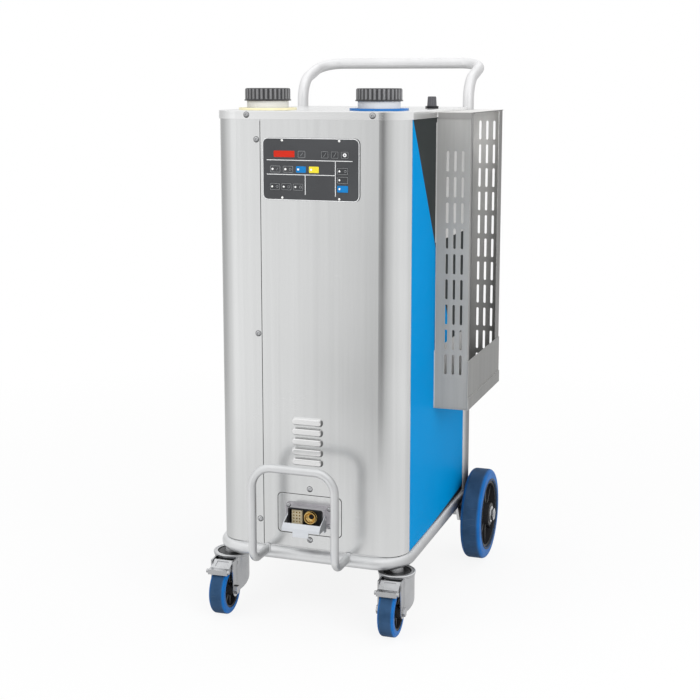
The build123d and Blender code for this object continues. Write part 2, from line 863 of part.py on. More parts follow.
screw_hole = screw_shank_diameter + 2 * screw_clearance
seam_screw_low = panel_bottom + seam_screw_rise
seam_screw_high = lid_top - seam_screw_drop
seam_screw_heights = (seam_screw_low, (seam_screw_low + seam_screw_high) / 2, seam_screw_high)
seam_screws = [(seam_x - seam_screw_inset, height) for height in seam_screw_heights]
control_screws = [
    (panel_x + side_x * panel_screw_x, panel_z + side_z * panel_screw_z)
    for side_x in (-1, 1)
    for side_z in (-1, 1)
]
socket_screws = [(socket_x, socket_z + side_z * socket_plate_screw_rise) for side_z in (-1, 1)]
skirt_screw_xs = (skirt_screw_left - half_width, half_width - skirt_screw_right)
skirt_screws = [(x, lid_top - lid_skirt / 2) for x in skirt_screw_xs]
flange_screw_x = flange_width / 2 - flange_screw_inset
flange_screw_z = flange_height / 2 - flange_screw_inset
flange_screws = [
    (socket_x + side_x * flange_screw_x, socket_z + side_z * flange_screw_z)
    for side_x in (-1, 1)
    for side_z in (-1, 1)
]

# Left front sheet, up to the seam
with BuildPart() as front_panel_left:
    front_sheet(-half_width, seam_x - sheet_gap / 2)
    front_holes(seam_screws, screw_hole)
    front_holes(skirt_screws[:1], screw_hole)
save(front_panel_left, "front_panel_left")

# Right front sheet, with the strip behind the seam, the louvres and its openings
with BuildPart() as front_panel_right:
    front_sheet(seam_x + sheet_gap / 2, half_width)
    with Locations((seam_x, front_y + sheet, panel_bottom + panel_height / 2)):
        Box(
            2 * seam_lap,
            sheet,
            panel_height - 2 * lid_skirt,
            align=(Align.CENTER, Align.MIN, Align.CENTER),
        )
    louvre_places = GridLocations(1, louvre_pitch, 1, louvre_count).local_locations
    with BuildSketch(facing_front(front_y)):
        with Locations((0, louvre_z)):
            with Locations(*louvre_places):
                SlotOverall(louvre_width, louvre_height)
    extrude(amount=louvre_depth, taper=louvre_taper)
    fillet(front_panel_right.edges().group_by(Axis.Y)[0], louvre_crown)
    with BuildSketch(facing_front(front_y + sheet)):
        with Locations((0, louvre_z)):
            with Locations(*louvre_places):
                SlotOverall(louvre_width - sheet, louvre_height - sheet)
    extrude(amount=louvre_depth, taper=louvre_taper, mode=Mode.SUBTRACT)
    with BuildSketch(facing_front(front_y - sheet / 2)):
        with Locations((0, louvre_z - louvre_height / 2)):
            with Locations(*louvre_places):
                Rectangle(louvre_width - 2 * louvre_height, 2 * louvre_slit)
    extrude(amount=louvre_depth, mode=Mode.SUBTRACT)
    with BuildSketch(facing_front(front_y)):
        with Locations((panel_x, panel_z)):
            Rectangle(opening_width, opening_height)
        with Locations((socket_x, socket_z)):
            Rectangle(shroud_width, shroud_height)
    extrude(amount=-3 * sheet, mode=Mode.SUBTRACT)
    front_holes(seam_screws, screw_hole)
    front_holes(control_screws, screw_hole)
    front_holes(socket_screws, screw_hole)
    front_holes(skirt_screws[1:], screw_hole)
save(front_panel_right, "front_panel_right")

# Side sheets
for name, side in sides:
    with BuildPart() as side_panel:
        side_front = front_y + case_corner_radius + sheet_gap
        side_rear = rear_y - sheet - sheet_gap
        with BuildSketch(Plane.YZ.offset(side * (inner_half + sheet / 2) - sheet / 2)):
            with BuildLine():
                Polyline(
                    (side_front, panel_bottom),
                    (front_y + side_rise_start, panel_bottom),
                    (side_rear, panel_bottom + side_rise),
                    (side_rear, lid_under),
                    (side_front, lid_under),
                    close=True,
                )
            make_face()
        extrude(amount=sheet)
    save(side_panel, f"side_panel_{name}")

# Rear sheet with the hole for the cable gland
with BuildPart() as rear_panel:
    with BuildSketch(facing_front(rear_y)):
        with Locations((0, panel_bottom)):
            Rectangle(case_width, panel_height, align=(Align.CENTER, Align.MIN))
        with Locations((gland_x, gland_z)):
            Circle(gland_shank_diameter / 2 + running_fit, mode=Mode.SUBTRACT)
    extrude(amount=sheet)
save(rear_panel, "rear_panel")

# Lid: a folded tray over the panels' upper edges
with BuildPart() as lid:
    skirt_bottom = lid_top - lid_skirt
    lid_grow = lid_gap + sheet
    with BuildSketch(Plane.XY.offset(skirt_bottom)) as lid_plan:
        with Locations((0, front_y - lid_grow)):
            Rectangle(
                case_width + 2 * lid_grow, case_depth + 2 * lid_grow, align=(Align.CENTER, Align.MIN)
            )
        fillet(lid_plan.vertices().group_by(Axis.Y)[0], case_corner_radius + lid_grow)
        fillet(lid_plan.vertices().group_by(Axis.Y)[-1], lid_rear_radius)
    extrude(amount=lid_skirt)
    fillet(lid.faces().sort_by(Axis.Z)[-1].edges(), lid_bend)
    with BuildSketch(Plane.XY.offset(skirt_bottom)) as lid_inside:
        with Locations((0, front_y - lid_gap)):
            Rectangle(
                case_width + 2 * lid_gap, case_depth + 2 * lid_gap, align=(Align.CENTER, Align.MIN)
            )
        fillet(lid_inside.vertices().group_by(Axis.Y)[0], case_corner_radius + lid_gap)
    extrude(amount=lid_skirt - sheet, mode=Mode.SUBTRACT)
    with BuildSketch(Plane.XY.offset(lid_under)):
        with Locations(*[(side * neck_x, neck_y) for _, side in sides]):
            Circle(neck_diameter / 2 + neck_clearance)
        with Locations((regulator_x, regulator_y)):
            Circle(regulator_neck_diameter / 2 + running_fit)
    extrude(amount=sheet, mode=Mode.SUBTRACT)
    front_holes(skirt_screws, screw_hole)
save(lid, "lid")

# Button-head screws of the casing, all alike
with BuildPart() as panel_screws:
    screw_faces = (
        (front_y, seam_screws + socket_screws),
        (front_y - panel_thickness, control_screws),
        (front_y - lid_gap - sheet, skirt_screws),
        (flange_front, flange_screws),
    )
    for face_y, places in screw_faces:
        with BuildSketch(facing_front(face_y)):
            with Locations(*places):
                Circle(screw_head_diameter / 2)
        extrude(amount=screw_head_height, taper=screw_head_taper)
        with BuildSketch(facing_front(face_y)):
            with Locations(*places):
                Circle(screw_shank_diameter / 2)
        extrude(amount=-screw_shank)
save(panel_screws, "panel_screws")


def tank_profile(inset):
    """Side outline of a tank as y and height, drawn in by the inset."""
    low_front = front_y + tank_front_low + inset
    high_front = front_y + tank_front_high + inset
    rear = tank_rear_y - inset
    slope_bottom = tank_step_height - 2 * (tank_front_low - tank_front_high) + inset / 2
    return (
        (low_front, base_top + inset),
        (rear, base_top + inset),
        (rear, tank_top - inset),
        (high_front, tank_top - inset),
        (high_front, tank_step_height + inset / 2),
        (low_front, slope_bottom),
    )


# Tanks on the base plate, with their necks through the lid
tank_names = (("detergent", -1), ("water", 1))
for name, side in tank_names:
    with BuildPart() as tank:
        low_x = min(side * tank_inner_x, side * tank_outer_x)
        tank_width = tank_outer_x - tank_inner_x
        with BuildSketch(Plane.YZ.offset(low_x)):
            with BuildLine():
                Polyline(*tank_profile(0), close=True)
            make_face()
        extrude(amount=tank_width)
        with Locations((side * neck_x, neck_y, tank_top)):
            Cylinder(neck_diameter / 2, neck_top - tank_top, align=BASE)
        with BuildSketch(Plane.YZ.offset(low_x + tank_wall)):
            with BuildLine():
                Polyline(*tank_profile(tank_wall), close=True)
            make_face()
        extrude(amount=tank_width - 2 * tank_wall, mode=Mode.SUBTRACT)
        with Locations((side * neck_x, neck_y, tank_top - 2 * tank_wall)):
            Cylinder(
                neck_diameter / 2 - neck_wall,
                neck_top - tank_top + 2 * tank_wall,
                align=BASE,
                mode=Mode.SUBTRACT,
            )
    save(tank, f"{name}_tank")

    with BuildPart() as collar:
        with Locations((side * neck_x, neck_y, lid_top)):
            Cylinder(collar_diameter / 2, collar_thickness, align=BASE)
            Cylinder(
                neck_diameter / 2 + neck_clearance, collar_thickness, align=BASE, mode=Mode.SUBTRACT
            )
    save(collar, f"{name}_collar")

    with BuildPart() as cap:
        with BuildSketch(Plane.XY.offset(cap_bottom)):
            with Locations((side * neck_x, neck_y)):
                Circle(cap_diameter / 2)
                with PolarLocations(cap_diameter / 2, cap_flutes, start_angle=180 / cap_flutes):
                    Circle(cap_flute_radius, mode=Mode.SUBTRACT)
        extrude(amount=cap_height - cap_rim)
        with Locations((side * neck_x, neck_y, cap_bottom + cap_height - cap_rim)):
            Cylinder(cap_diameter / 2 - cap_rim_inset, cap_rim, align=BASE)
        with Locations((side * neck_x, neck_y, cap_bottom)):
            Cylinder(
                neck_diameter / 2 + cap_thread_clearance,
                cap_height - cap_roof,
                align=BASE,
                mode=Mode.SUBTRACT,
            )
    save(cap, f"{name}_cap")

# Keys, windows and lamps of the control panel, from the middle of the panel: x, height, width, height
key_sizes = {}
for number, step in enumerate((-1, 0, 1), 1):
    column = settings_x + step * settings_pitch
    key_sizes[f"settings_key_{number}"] = (column, settings_z, settings_width, settings_height)
for number, step in enumerate((-1, 0, 1), 1):
    column = steam_x + step * steam_pitch
    key_sizes[f"steam_key_{number}"] = (column, steam_z, steam_width, steam_height)
for number, step in enumerate((1, 0, -1), 1):
    row = start_z + step * start_pitch
    key_sizes[f"start_key_{number}"] = (start_x, row, start_width, start_height)
window_sizes = [
    (display_x, display_z, display_width, display_height),
    (status_x, settings_z, settings_width, settings_height),
]
for number in range(lamp_count):
    column = lamp_x + (number - (lamp_count - 1) / 2) * lamp_pitch
    window_sizes.append((column, lamp_z, lamp_width, lamp_height))

# Control panel: a plate with openings for the keys and pockets for the windows
panel_front = front_y - panel_thickness
with BuildPart() as control_panel:
    with BuildSketch(facing_front(front_y)):
        with Locations((panel_x, panel_z)):
            RectangleRounded(panel_width, panel_depth, panel_corner)
        with Locations(*control_screws):
            Circle(screw_hole / 2, mode=Mode.SUBTRACT)
        for x, z, width, height in key_sizes.values():
            with Locations((panel_x + x, panel_z + z)):
                RectangleRounded(
                    width + 2 * key_clearance,
                    height + 2 * key_clearance,
                    key_corner + key_clearance,
                    mode=Mode.SUBTRACT,
                )
    extrude(amount=panel_thickness)
    with BuildSketch(facing_front(panel_front)):
        for x, z, width, height in window_sizes:
            with Locations((panel_x + x, panel_z + z)):
                RectangleRounded(width, height, key_corner)
    extrude(amount=-window_depth, mode=Mode.SUBTRACT)
save(control_panel, "control_panel")

# Display and lamp windows, each on the floor of its pocket
with BuildPart() as panel_windows:
    with BuildSketch(facing_front(panel_front + window_depth)):
        for x, z, width, height in window_sizes:
            with Locations((panel_x + x, panel_z + z)):
                RectangleRounded(width - 2 * running_fit, height - 2 * running_fit, key_corner)
    extrude(amount=window_depth)
save(panel_windows, "panel_windows")

# Keys that travel into the panel, each with a flange behind its opening
for node, (x, z, width, height) in key_sizes.items():
    with BuildPart() as key:
        with BuildSketch(facing_front(front_y + key_stop_gap)):
            with Locations((panel_x + x, panel_z + z)):
                RectangleRounded(width, height, key_corner)
        extrude(amount=panel_thickness + key_stop_gap + key_proud)
        with BuildSketch(facing_front(front_y + key_stop_gap)):
            with Locations((panel_x + x, panel_z + z)):
                RectangleRounded(width + 2 * key_flange, height + 2 * key_flange, key_corner)
        extrude(amount=-key_flange_thickness)
    save(key, node)

# Circuit board on four pillars behind the panel
with BuildPart() as control_board:
    board_front = front_y + board_setback
    with BuildSketch(facing_front(board_front)):
        with Locations((panel_x, panel_z)):
            Rectangle(2 * standoff_x + standoff_diameter, 2 * standoff_z + standoff_diameter)
    extrude(amount=-board_thickness)
    with BuildSketch(facing_front(board_front)):
        with Locations((panel_x, panel_z)):
            with GridLocations(2 * standoff_x, 2 * standoff_z, 2, 2):
                Circle(standoff_diameter / 2)
    extrude(amount=board_setback)
save(control_board, "control_board")

# Backing plate of the socket
with BuildPart() as socket_plate:
    with BuildSketch(facing_front(front_y)):
        with Locations((socket_x, socket_z)):
            RectangleRounded(socket_plate_width, socket_plate_height, socket_plate_corner)
        with Locations((coupling_x, socket_z)):
            Circle(coupling_diameter / 2 + running_fit, mode=Mode.SUBTRACT)
    extrude(amount=socket_plate_thickness)
save(socket_plate, "socket_plate")

# Socket housing: flange, open shroud and the two trunnions of the locking lever
with BuildPart() as socket_housing:
    with BuildSketch(facing_front(plate_front)):
        with Locations((socket_x, socket_z)):
            RectangleRounded(flange_width, flange_height, flange_corner)
    extrude(amount=flange_thickness)
    with BuildSketch(facing_front(flange_front)):
        with Locations((socket_x, socket_z)):
            RectangleRounded(shroud_width, shroud_height, shroud_corner)
    extrude(amount=shroud_depth)
    with Locations(along_x(socket_x, trunnion_y, socket_z)):
        Cylinder(trunnion_diameter / 2, shroud_width + 2 * trunnion_length)
    with BuildSketch(facing_front(plate_front)):
        with Locations((socket_x, socket_z)):
            RectangleRounded(
                shroud_width - 2 * shroud_wall, shroud_height - 2 * shroud_wall, shroud_corner - shroud_wall
            )
    extrude(amount=flange_thickness + shroud_depth, mode=Mode.SUBTRACT)
    with BuildSketch(facing_front(flange_front)):
        with Locations(*flange_screws):
            Circle(screw_hole / 2)
    extrude(amount=-flange_thickness, mode=Mode.SUBTRACT)
save(socket_housing, "socket_housing")

# Contact carrier inside the shroud
with BuildPart() as socket_insert:
    with BuildSketch(facing_front(plate_front)):
        with Locations((socket_x, socket_z)):
            RectangleRounded(
                shroud_width - 2 * shroud_wall - 2 * insert_gap,
                shroud_height - 2 * shroud_wall - 2 * insert_gap,
                shroud_corner - shroud_wall,
            )
        with Locations((coupling_x, socket_z)):
            Circle(coupling_diameter / 2 + running_fit, mode=Mode.SUBTRACT)
    extrude(amount=insert_depth)
    with BuildSketch(facing_front(insert_front)):
        with Locations((socket_x - contact_offset, socket_z)):
            Rectangle(contact_block_width, contact_block_height)
    extrude(amount=contact_block_depth)
    with BuildSketch(facing_front(insert_front - contact_block_depth)):
        with Locations((socket_x - contact_offset, socket_z)):
            with GridLocations(contact_pitch, contact_pitch, contact_columns, contact_rows):
                Circle(contact_hole_diameter / 2)
    extrude(amount=-contact_block_depth, mode=Mode.SUBTRACT)
save(socket_insert, "socket_insert")

# Brass steam coupling through the carrier, with its bore open to the front
with BuildPart() as steam_coupling:
    with BuildSketch(facing_front(insert_front)):
        with Locations((coupling_x, socket_z)):
            Circle(coupling_flange_diameter / 2)
    extrude(amount=coupling_flange)
    with BuildSketch(facing_front(insert_front - coupling_nose)):
        with Locations((coupling_x, socket_z)):
            Circle(coupling_diameter / 2)
    extrude(amount=-(insert_depth + coupling_nose + socket_plate_thickness))
    with BuildSketch(facing_front(front_y)):
        with Locations((coupling_x, socket_z)):
            Circle(coupling_tail_diameter / 2)
    extrude(amount=-coupling_tail)
    with BuildSketch(facing_front(insert_front - coupling_nose)):
        with Locations((coupling_x, socket_z)):
            Circle(coupling_bore_diameter / 2)
    extrude(amount=-coupling_bore_depth, mode=Mode.SUBTRACT)
save(steam_coupling, "steam_coupling")

# Locking lever: two arms on the trunnions, a folded cross bar and a finger tab
lever_inner_x = shroud_width / 2 + lever_gap
lever_outer_x = lever_inner_x + lever_plate
fold_drop = lever_drop + lever_fall
lip_drop = fold_drop + lever_lip
with BuildPart() as lever_shape:
    for x_low in (-lever_outer_x, lever_inner_x):
        with BuildSketch(Plane.YZ.offset(x_low)):
            with BuildLine():
                Polyline(
                    (0, lever_eye),
                    (-lever_reach + lever_slope, -lever_drop),
                    (-lever_reach, -fold_drop),
                    (-lever_reach, -lip_drop),
                    (-lever_tail_width, -lip_drop),
                    (-lever_tail_width / 2, -lever_tail),
                    (lever_tail_width / 2, -lever_tail),
                    (lever_eye, 0),
                    close=True,
                )
            make_face()
            Circle(lever_eye)
            Circle(trunnion_diameter / 2 + running_fit, mode=Mode.SUBTRACT)
        extrude(amount=lever_plate)
    with BuildSketch(Plane.YZ.offset(-lever_outer_x)):
        with BuildLine():
            Polyline(
                (-lever_reach + lever_slope, -lever_drop),
                (-lever_reach, -fold_drop),
                (-lever_reach, -lip_drop),
                (-lever_reach + lever_plate, -lip_drop),
                (-lever_reach + lever_plate, -fold_drop - lever_plate / 2),
                (-lever_reach + lever_slope + lever_plate, -lever_drop - lever_plate / 2),
                close=True,
            )
        make_face()
    extrude(amount=2 * lever_outer_x)
    with BuildSketch(Plane.YZ.offset(-lever_tab_width / 2)):
        with BuildLine():
            Polyline(
                (-lever_reach, -lip_drop),
                (-lever_reach - lever_tab_lead, -lip_drop - lever_tab_length),
                (-lever_reach - lever_tab_lead + lever_plate, -lip_drop - lever_tab_length),
                (-lever_reach + lever_plate, -lip_drop),
                close=True,
            )
        make_face()
    extrude(amount=lever_tab_width)
with BuildPart() as locking_lever:
    with Locations((socket_x, trunnion_y, socket_z)):
        add(lever_shape.part)
save(locking_lever, "locking_lever")

# Regulator valve: bush on the lid, body under it
with BuildPart() as regulator_valve:
    with BuildSketch(Plane.XY.offset(lid_top)):
        with Locations((regulator_x, regulator_y)):
            RegularPolygon(regulator_bush_flats / 2, 6, major_radius=False)
    extrude(amount=regulator_bush_height)
    with Locations((regulator_x, regulator_y, lid_under)):
        Cylinder(regulator_neck_diameter / 2, sheet, align=BASE)
    with Locations((regulator_x, regulator_y, lid_under - regulator_body_length)):
        Cylinder(regulator_body_diameter / 2, regulator_body_length, align=BASE)
    with Locations((regulator_x, regulator_y, lid_top + regulator_bush_height)):
        Cylinder(
            regulator_shaft_diameter / 2 + running_fit,
            2 * (regulator_shaft_depth + axial_gap),
            mode=Mode.SUBTRACT,
        )
save(regulator_valve, "regulator_valve")

# Regulator knob on its shaft
with BuildPart() as regulator_knob:
    knob_bottom = lid_top + regulator_bush_height + axial_gap
    with Locations((regulator_x, regulator_y, knob_bottom)):
        Cylinder(knob_skirt_diameter / 2, knob_skirt, align=BASE)
    with BuildSketch(Plane.XY.offset(knob_bottom + knob_skirt)):
        with Locations((regulator_x, regulator_y)):
            Circle(knob_diameter / 2)
            with PolarLocations(knob_diameter / 2, knob_flutes, start_angle=180 / knob_flutes):
                Circle(knob_flute_radius, mode=Mode.SUBTRACT)
    extrude(amount=knob_height)
    with Locations((regulator_x, regulator_y, knob_bottom - regulator_shaft_depth)):
        Cylinder(regulator_shaft_diameter / 2, regulator_shaft_depth, align=BASE)
save(regulator_knob, "regulator_knob")

# Accessory carrier: front wall with returns and the two strips that hold it to the side sheet
tray_top = carrier_bottom + sheet
roof_under = carrier_top - sheet
wall_outer_x = carrier_outer_x - sheet


def slotted_wall(y, rows, slot_offset):
    """Add a sheet across the carrier at y, with a field of upright slots, to the open part."""
    with BuildSketch(facing_front(y)) as wall:
        with Locations((half_width + sheet, tray_top)):
            Rectangle(
                wall_outer_x - half_width - sheet, roof_under - tray_top, align=(Align.MIN, Align.MIN)
            )
        with Locations((half_width, lid_top)):
            Rectangle(
                2 * (carrier_inner_x - half_width), 2 * (lid_skirt + carrier_gap), mode=Mode.SUBTRACT
            )
        with Locations((half_width + slot_offset, lid_top - slot_drop)):
            with GridLocations(slot_column_pitch, slot_row_pitch, slot_columns, rows):
                SlotOverall(slot_height, slot_width, rotation=90, mode=Mode.SUBTRACT)
    extrude(wall.sketch, amount=-sheet)


with BuildPart() as carrier_front_wall:
    wall_y = carrier_front + sheet
    slotted_wall(wall_y, front_slot_rows, front_slot_offset)
    with Locations((wall_outer_x, wall_y, tray_top)):
        Box(sheet, carrier_front_return, roof_under - tray_top, align=(Align.MAX, Align.MIN, Align.MIN))
    strip_depth = rear_y - carrier_mount_gap - wall_y
    strip_top = carrier_top - carrier_mount_drop
    strip_spans = (
        (tray_top, carrier_mount_low_height),
        (strip_top - carrier_mount_high_height, carrier_mount_high_height),
    )
    for strip_bottom, strip_height in strip_spans:
        with Locations((half_width, wall_y, strip_bottom)):
            Box(sheet, strip_depth, strip_height, align=(Align.MIN, Align.MIN, Align.MIN))
save(carrier_front_wall, "carrier_front_wall")

# Rear wall of the carrier, folded forwards into its roof and down over the front wall
with BuildPart() as carrier_rear_wall:
    slotted_wall(carrier_rear - sheet, rear_slot_rows, rear_slot_offset)
    with Locations((wall_outer_x, carrier_rear - sheet, tray_top)):
        Box(sheet, carrier_rear_return, roof_under - tray_top, align=(Align.MAX, Align.MAX, Align.MIN))
    with Locations((carrier_outer_x, carrier_front, roof_under)):
        Box(
            carrier_outer_x - carrier_inner_x,
            carrier_rear - carrier_front,
            sheet,
            align=(Align.MAX, Align.MIN, Align.MIN),
        )
    with Locations((carrier_outer_x, carrier_front, carrier_top)):
        Box(
            carrier_outer_x - carrier_inner_x,
            sheet,
            carrier_skirt,
            align=(Align.MAX, Align.MIN, Align.MAX),
        )
    with Locations((ring_x, post_y, 0)):
        Cylinder(handle_diameter / 2 + post_clearance, lid_top, align=BASE, mode=Mode.SUBTRACT)
save(carrier_rear_wall, "carrier_rear_wall")

# Tray of the carrier: floor, low outer wall and the doubled band along its foot
with BuildPart() as carrier_tray:
    tray_depth = carrier_rear - carrier_front
    with Locations((carrier_outer_x, carrier_front, carrier_bottom)):
        Box(
            carrier_outer_x - half_width - sheet_gap,
            tray_depth,
            sheet,
            align=(Align.MAX, Align.MIN, Align.MIN),
        )
        Box(sheet, tray_depth, carrier_low_wall, align=(Align.MAX, Align.MIN, Align.MIN))
        Box(sheet, tray_depth, carrier_band, align=(Align.MIN, Align.MIN, Align.MIN))
    with Locations((ring_x, post_y, 0)):
        Cylinder(handle_diameter / 2 + post_clearance, lid_top, align=BASE, mode=Mode.SUBTRACT)
save(carrier_tray, "carrier_tray")

vessel_bottom = base_top + boiler_foot
vessel_top = vessel_bottom + boiler_height
boiler_axis = Axis((coupling_x, boiler_y, 0), (0, 0, 1))


def vessel_profile(inset):
    """Half section of the vessel as x and height, drawn in by the inset."""
    wall_x = coupling_x + boiler_diameter / 2 - inset
    crown_x = coupling_x + boiler_diameter / 2 - boiler_dish - inset / 2
    slope = boiler_dish + inset / 2
    return (
        (coupling_x, vessel_bottom + inset),
        (crown_x, vessel_bottom + inset),
        (wall_x, vessel_bottom + slope),
        (wall_x, vessel_top - slope),
        (crown_x, vessel_top - inset),
        (coupling_x, vessel_top - inset),
    )


# Boiler: a vessel with dished ends on three feet, and its steam port
with BuildPart() as boiler:
    with BuildSketch(facing_front(boiler_y)):
        with BuildLine():
            Polyline(*vessel_profile(0), close=True)
        make_face()
    revolve(axis=boiler_axis)
    with Locations((coupling_x, boiler_y, base_top)):
        with PolarLocations(boiler_foot_circle / 2, 3):
            Cylinder(boiler_foot_diameter / 2, boiler_foot + boiler_wall / 2, align=BASE)
    with BuildSketch(facing_front(port_root + boiler_wall)):
        with Locations((coupling_x, socket_z)):
            Circle(boiler_port_diameter / 2)
    extrude(amount=boiler_port_length + boiler_wall)
    with BuildSketch(facing_front(boiler_y)):
        with BuildLine():
            Polyline(*vessel_profile(boiler_wall), close=True)
        make_face()
    revolve(axis=boiler_axis, mode=Mode.SUBTRACT)
save(boiler, "boiler")

# Steam pipe from the boiler's port to the tail of the coupling
with BuildPart() as steam_pipe:
    pipe_start = front_y + coupling_tail
    with BuildSketch(facing_front(pipe_start)):
        with Locations((coupling_x, socket_z)):
            Circle(pipe_diameter / 2)
            Circle(pipe_diameter / 2 - pipe_wall, mode=Mode.SUBTRACT)
    extrude(amount=-(port_front - pipe_start))
save(steam_pipe, "steam_pipe")

# Feed pump: block on the base plate with its motor above
with BuildPart() as feed_pump:
    with Locations((pump_x, pump_y, base_top)):
        Box(pump_width, pump_length, pump_base_height, align=BASE)
    with Locations((pump_x, pump_y, base_top + pump_base_height)):
        Cylinder(pump_motor_diameter / 2, pump_motor_length, align=BASE)
save(feed_pump, "feed_pump")

# Cable gland in the rear sheet, with its bore open to the rear
with BuildPart() as mains_gland:
    gland_face = Plane(origin=(gland_x, rear_y, gland_z), x_dir=(1, 0, 0), z_dir=(0, 1, 0))
    with BuildSketch(gland_face):
        RegularPolygon(gland_flats / 2, 6, major_radius=False)
    extrude(amount=gland_nut)
    with BuildSketch(gland_face.offset(gland_nut)):
        Circle(gland_dome_diameter / 2)
    extrude(amount=gland_dome)
    fillet(mains_gland.edges().group_by(Axis.Y)[-1], (gland_dome_diameter - gland_bore_diameter) / 4)
    with BuildSketch(gland_face):
        Circle(gland_shank_diameter / 2)
    extrude(amount=-gland_shank)
    with BuildSketch(gland_face.offset(gland_nut + gland_dome)):
        Circle(gland_bore_diameter / 2)
    extrude(amount=-(gland_nut + gland_dome + gland_shank), mode=Mode.SUBTRACT)
save(mains_gland, "mains_gland")
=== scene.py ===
# %% [markdown]
# # A steam cleaning trolley
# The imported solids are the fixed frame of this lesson: they carry the real sizes and the joints. Everything
# below dresses them. Each solid gets a finish made of shader nodes, and small things that repeat, such as
# screws, weld ripples and cap ribs, are made by Geometry Nodes and ride on the body that carries them.

# %% Load the frame
import json
import math

import bpy
from mathutils import Matrix, Vector

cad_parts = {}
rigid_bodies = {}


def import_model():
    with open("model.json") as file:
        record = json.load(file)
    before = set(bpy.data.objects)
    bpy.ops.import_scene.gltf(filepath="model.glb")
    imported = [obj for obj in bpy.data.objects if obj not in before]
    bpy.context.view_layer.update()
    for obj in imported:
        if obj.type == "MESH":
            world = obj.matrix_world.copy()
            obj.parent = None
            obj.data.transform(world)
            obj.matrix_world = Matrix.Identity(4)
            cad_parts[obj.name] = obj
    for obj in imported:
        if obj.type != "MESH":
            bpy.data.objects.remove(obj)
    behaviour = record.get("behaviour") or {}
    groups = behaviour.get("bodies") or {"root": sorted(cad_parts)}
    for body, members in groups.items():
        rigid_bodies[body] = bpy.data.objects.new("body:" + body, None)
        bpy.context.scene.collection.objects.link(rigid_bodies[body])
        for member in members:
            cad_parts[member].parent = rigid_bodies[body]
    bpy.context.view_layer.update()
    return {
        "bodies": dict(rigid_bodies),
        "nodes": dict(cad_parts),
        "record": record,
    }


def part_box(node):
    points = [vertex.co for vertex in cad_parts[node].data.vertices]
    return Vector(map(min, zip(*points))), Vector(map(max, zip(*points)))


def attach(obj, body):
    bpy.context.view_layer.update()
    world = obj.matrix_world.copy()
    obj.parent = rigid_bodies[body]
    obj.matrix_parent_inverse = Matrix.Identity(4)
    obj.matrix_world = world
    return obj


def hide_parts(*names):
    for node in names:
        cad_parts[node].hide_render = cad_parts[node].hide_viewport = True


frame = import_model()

MM = 0.001
nodes = frame["nodes"]

# %% [markdown]
# ## The camera
# The picture was taken from the right of the control panel, a little above the lid. The place was found by
# matching edges whose sizes are known. A level camera with a large shift would keep upright edges upright,
# but it would cut the trolley off in every other view, so this one is tilted down and has only a small
# shift.

# %% Camera
CAMERA_PLACE = Vector((0.8925, -2.605, 1.065))
CAMERA_TURN = math.radians(19.03)
CAMERA_TILT = math.radians(9.22)
LENS_MM = 67.84
SENSOR_MM = 36.0
SHIFT_DOWN = -0.08

scene = bpy.context.scene
camera_data = bpy.data.cameras.new("portrait_camera")
camera_data.lens = LENS_MM
camera_data.sensor_width = SENSOR_MM
camera_data.shift_y = SHIFT_DOWN
camera = bpy.data.objects.new("portrait_camera", camera_data)
camera.location = CAMERA_PLACE
camera.rotation_euler = (math.radians(90) - CAMERA_TILT, 0.0, CAMERA_TURN)
scene.collection.objects.link(camera)
scene.camera = camera
scene.view_settings.view_transform = "Standard"
print("camera", [round(x, 3) for x in CAMERA_PLACE], "lens", LENS_MM)

# %% [markdown]
# ## Helpers for node trees
# A node tree is easier to read when one call makes a node, sets its options and plugs its inputs. A value
# that is a socket gets linked, and any other value is typed into the socket. A finish is a material with
# its tree ready to fill, kept under its name.


# %% Node helpers
def plug(tree, node, inputs):
    """Plug a node's inputs, by name or number: link a socket, or type a plain value in."""
    for name, value in inputs.items():
        if isinstance(value, bpy.types.NodeSocket):
            tree.links.new(value, node.inputs[name])
        else:
            node.inputs[name].default_value = value


def add(tree, kind, inputs=None, **options):
    """Add a node, set its options, then plug its inputs."""
    node = tree.nodes.new(kind)
    for option, value in options.items():
        setattr(node, option, value)
    plug(tree, node, inputs or {})
    return node


def ramp(tree, value, low, high, out_low=0.0, out_high=1.0):
    """Stretch a value from one range to another, clamped."""
    inputs = {"Value": value, "From Min": low, "From Max": high, "To Min": out_low, "To Max": out_high}
    return add(tree, "ShaderNodeMapRange", inputs).outputs["Result"]


def maths(tree, operation, *values):
    """One sum on one or more values."""
    return add(tree, "ShaderNodeMath", dict(enumerate(values)), operation=operation).outputs[0]


def vectors(tree, operation, inputs):
    """One sum on vectors, which gives a vector or a plain value."""
    outputs = add(tree, "ShaderNodeVectorMath", inputs, operation=operation).outputs
    return outputs["Value" if operation in ("LENGTH", "DOT_PRODUCT") else "Vector"]


def axes_of(tree, vector):
    """The X, Y and Z of a vector."""
    return add(tree, "ShaderNodeSeparateXYZ", {0: vector}).outputs


def between(tree, mask, first, second):
    """Mix two colours by a mask."""
    return add(tree, "ShaderNodeMix", {0: mask, 6: first, 7: second}, data_type="RGBA").outputs[2]


def noise(tree, place, scale, detail=2.0):
    """Cloudy noise in object space."""
    inputs = {"Vector": place, "Scale": scale, "Detail": detail}
    return add(tree, "ShaderNodeTexNoise", inputs).outputs["Fac"]


print("Blender", bpy.app.version_string)

# %% Groups, finishes and colours
VALUE = "NodeSocketFloat"
VECTOR = "NodeSocketVector"
COLOUR = "NodeSocketColor"
finishes = {}


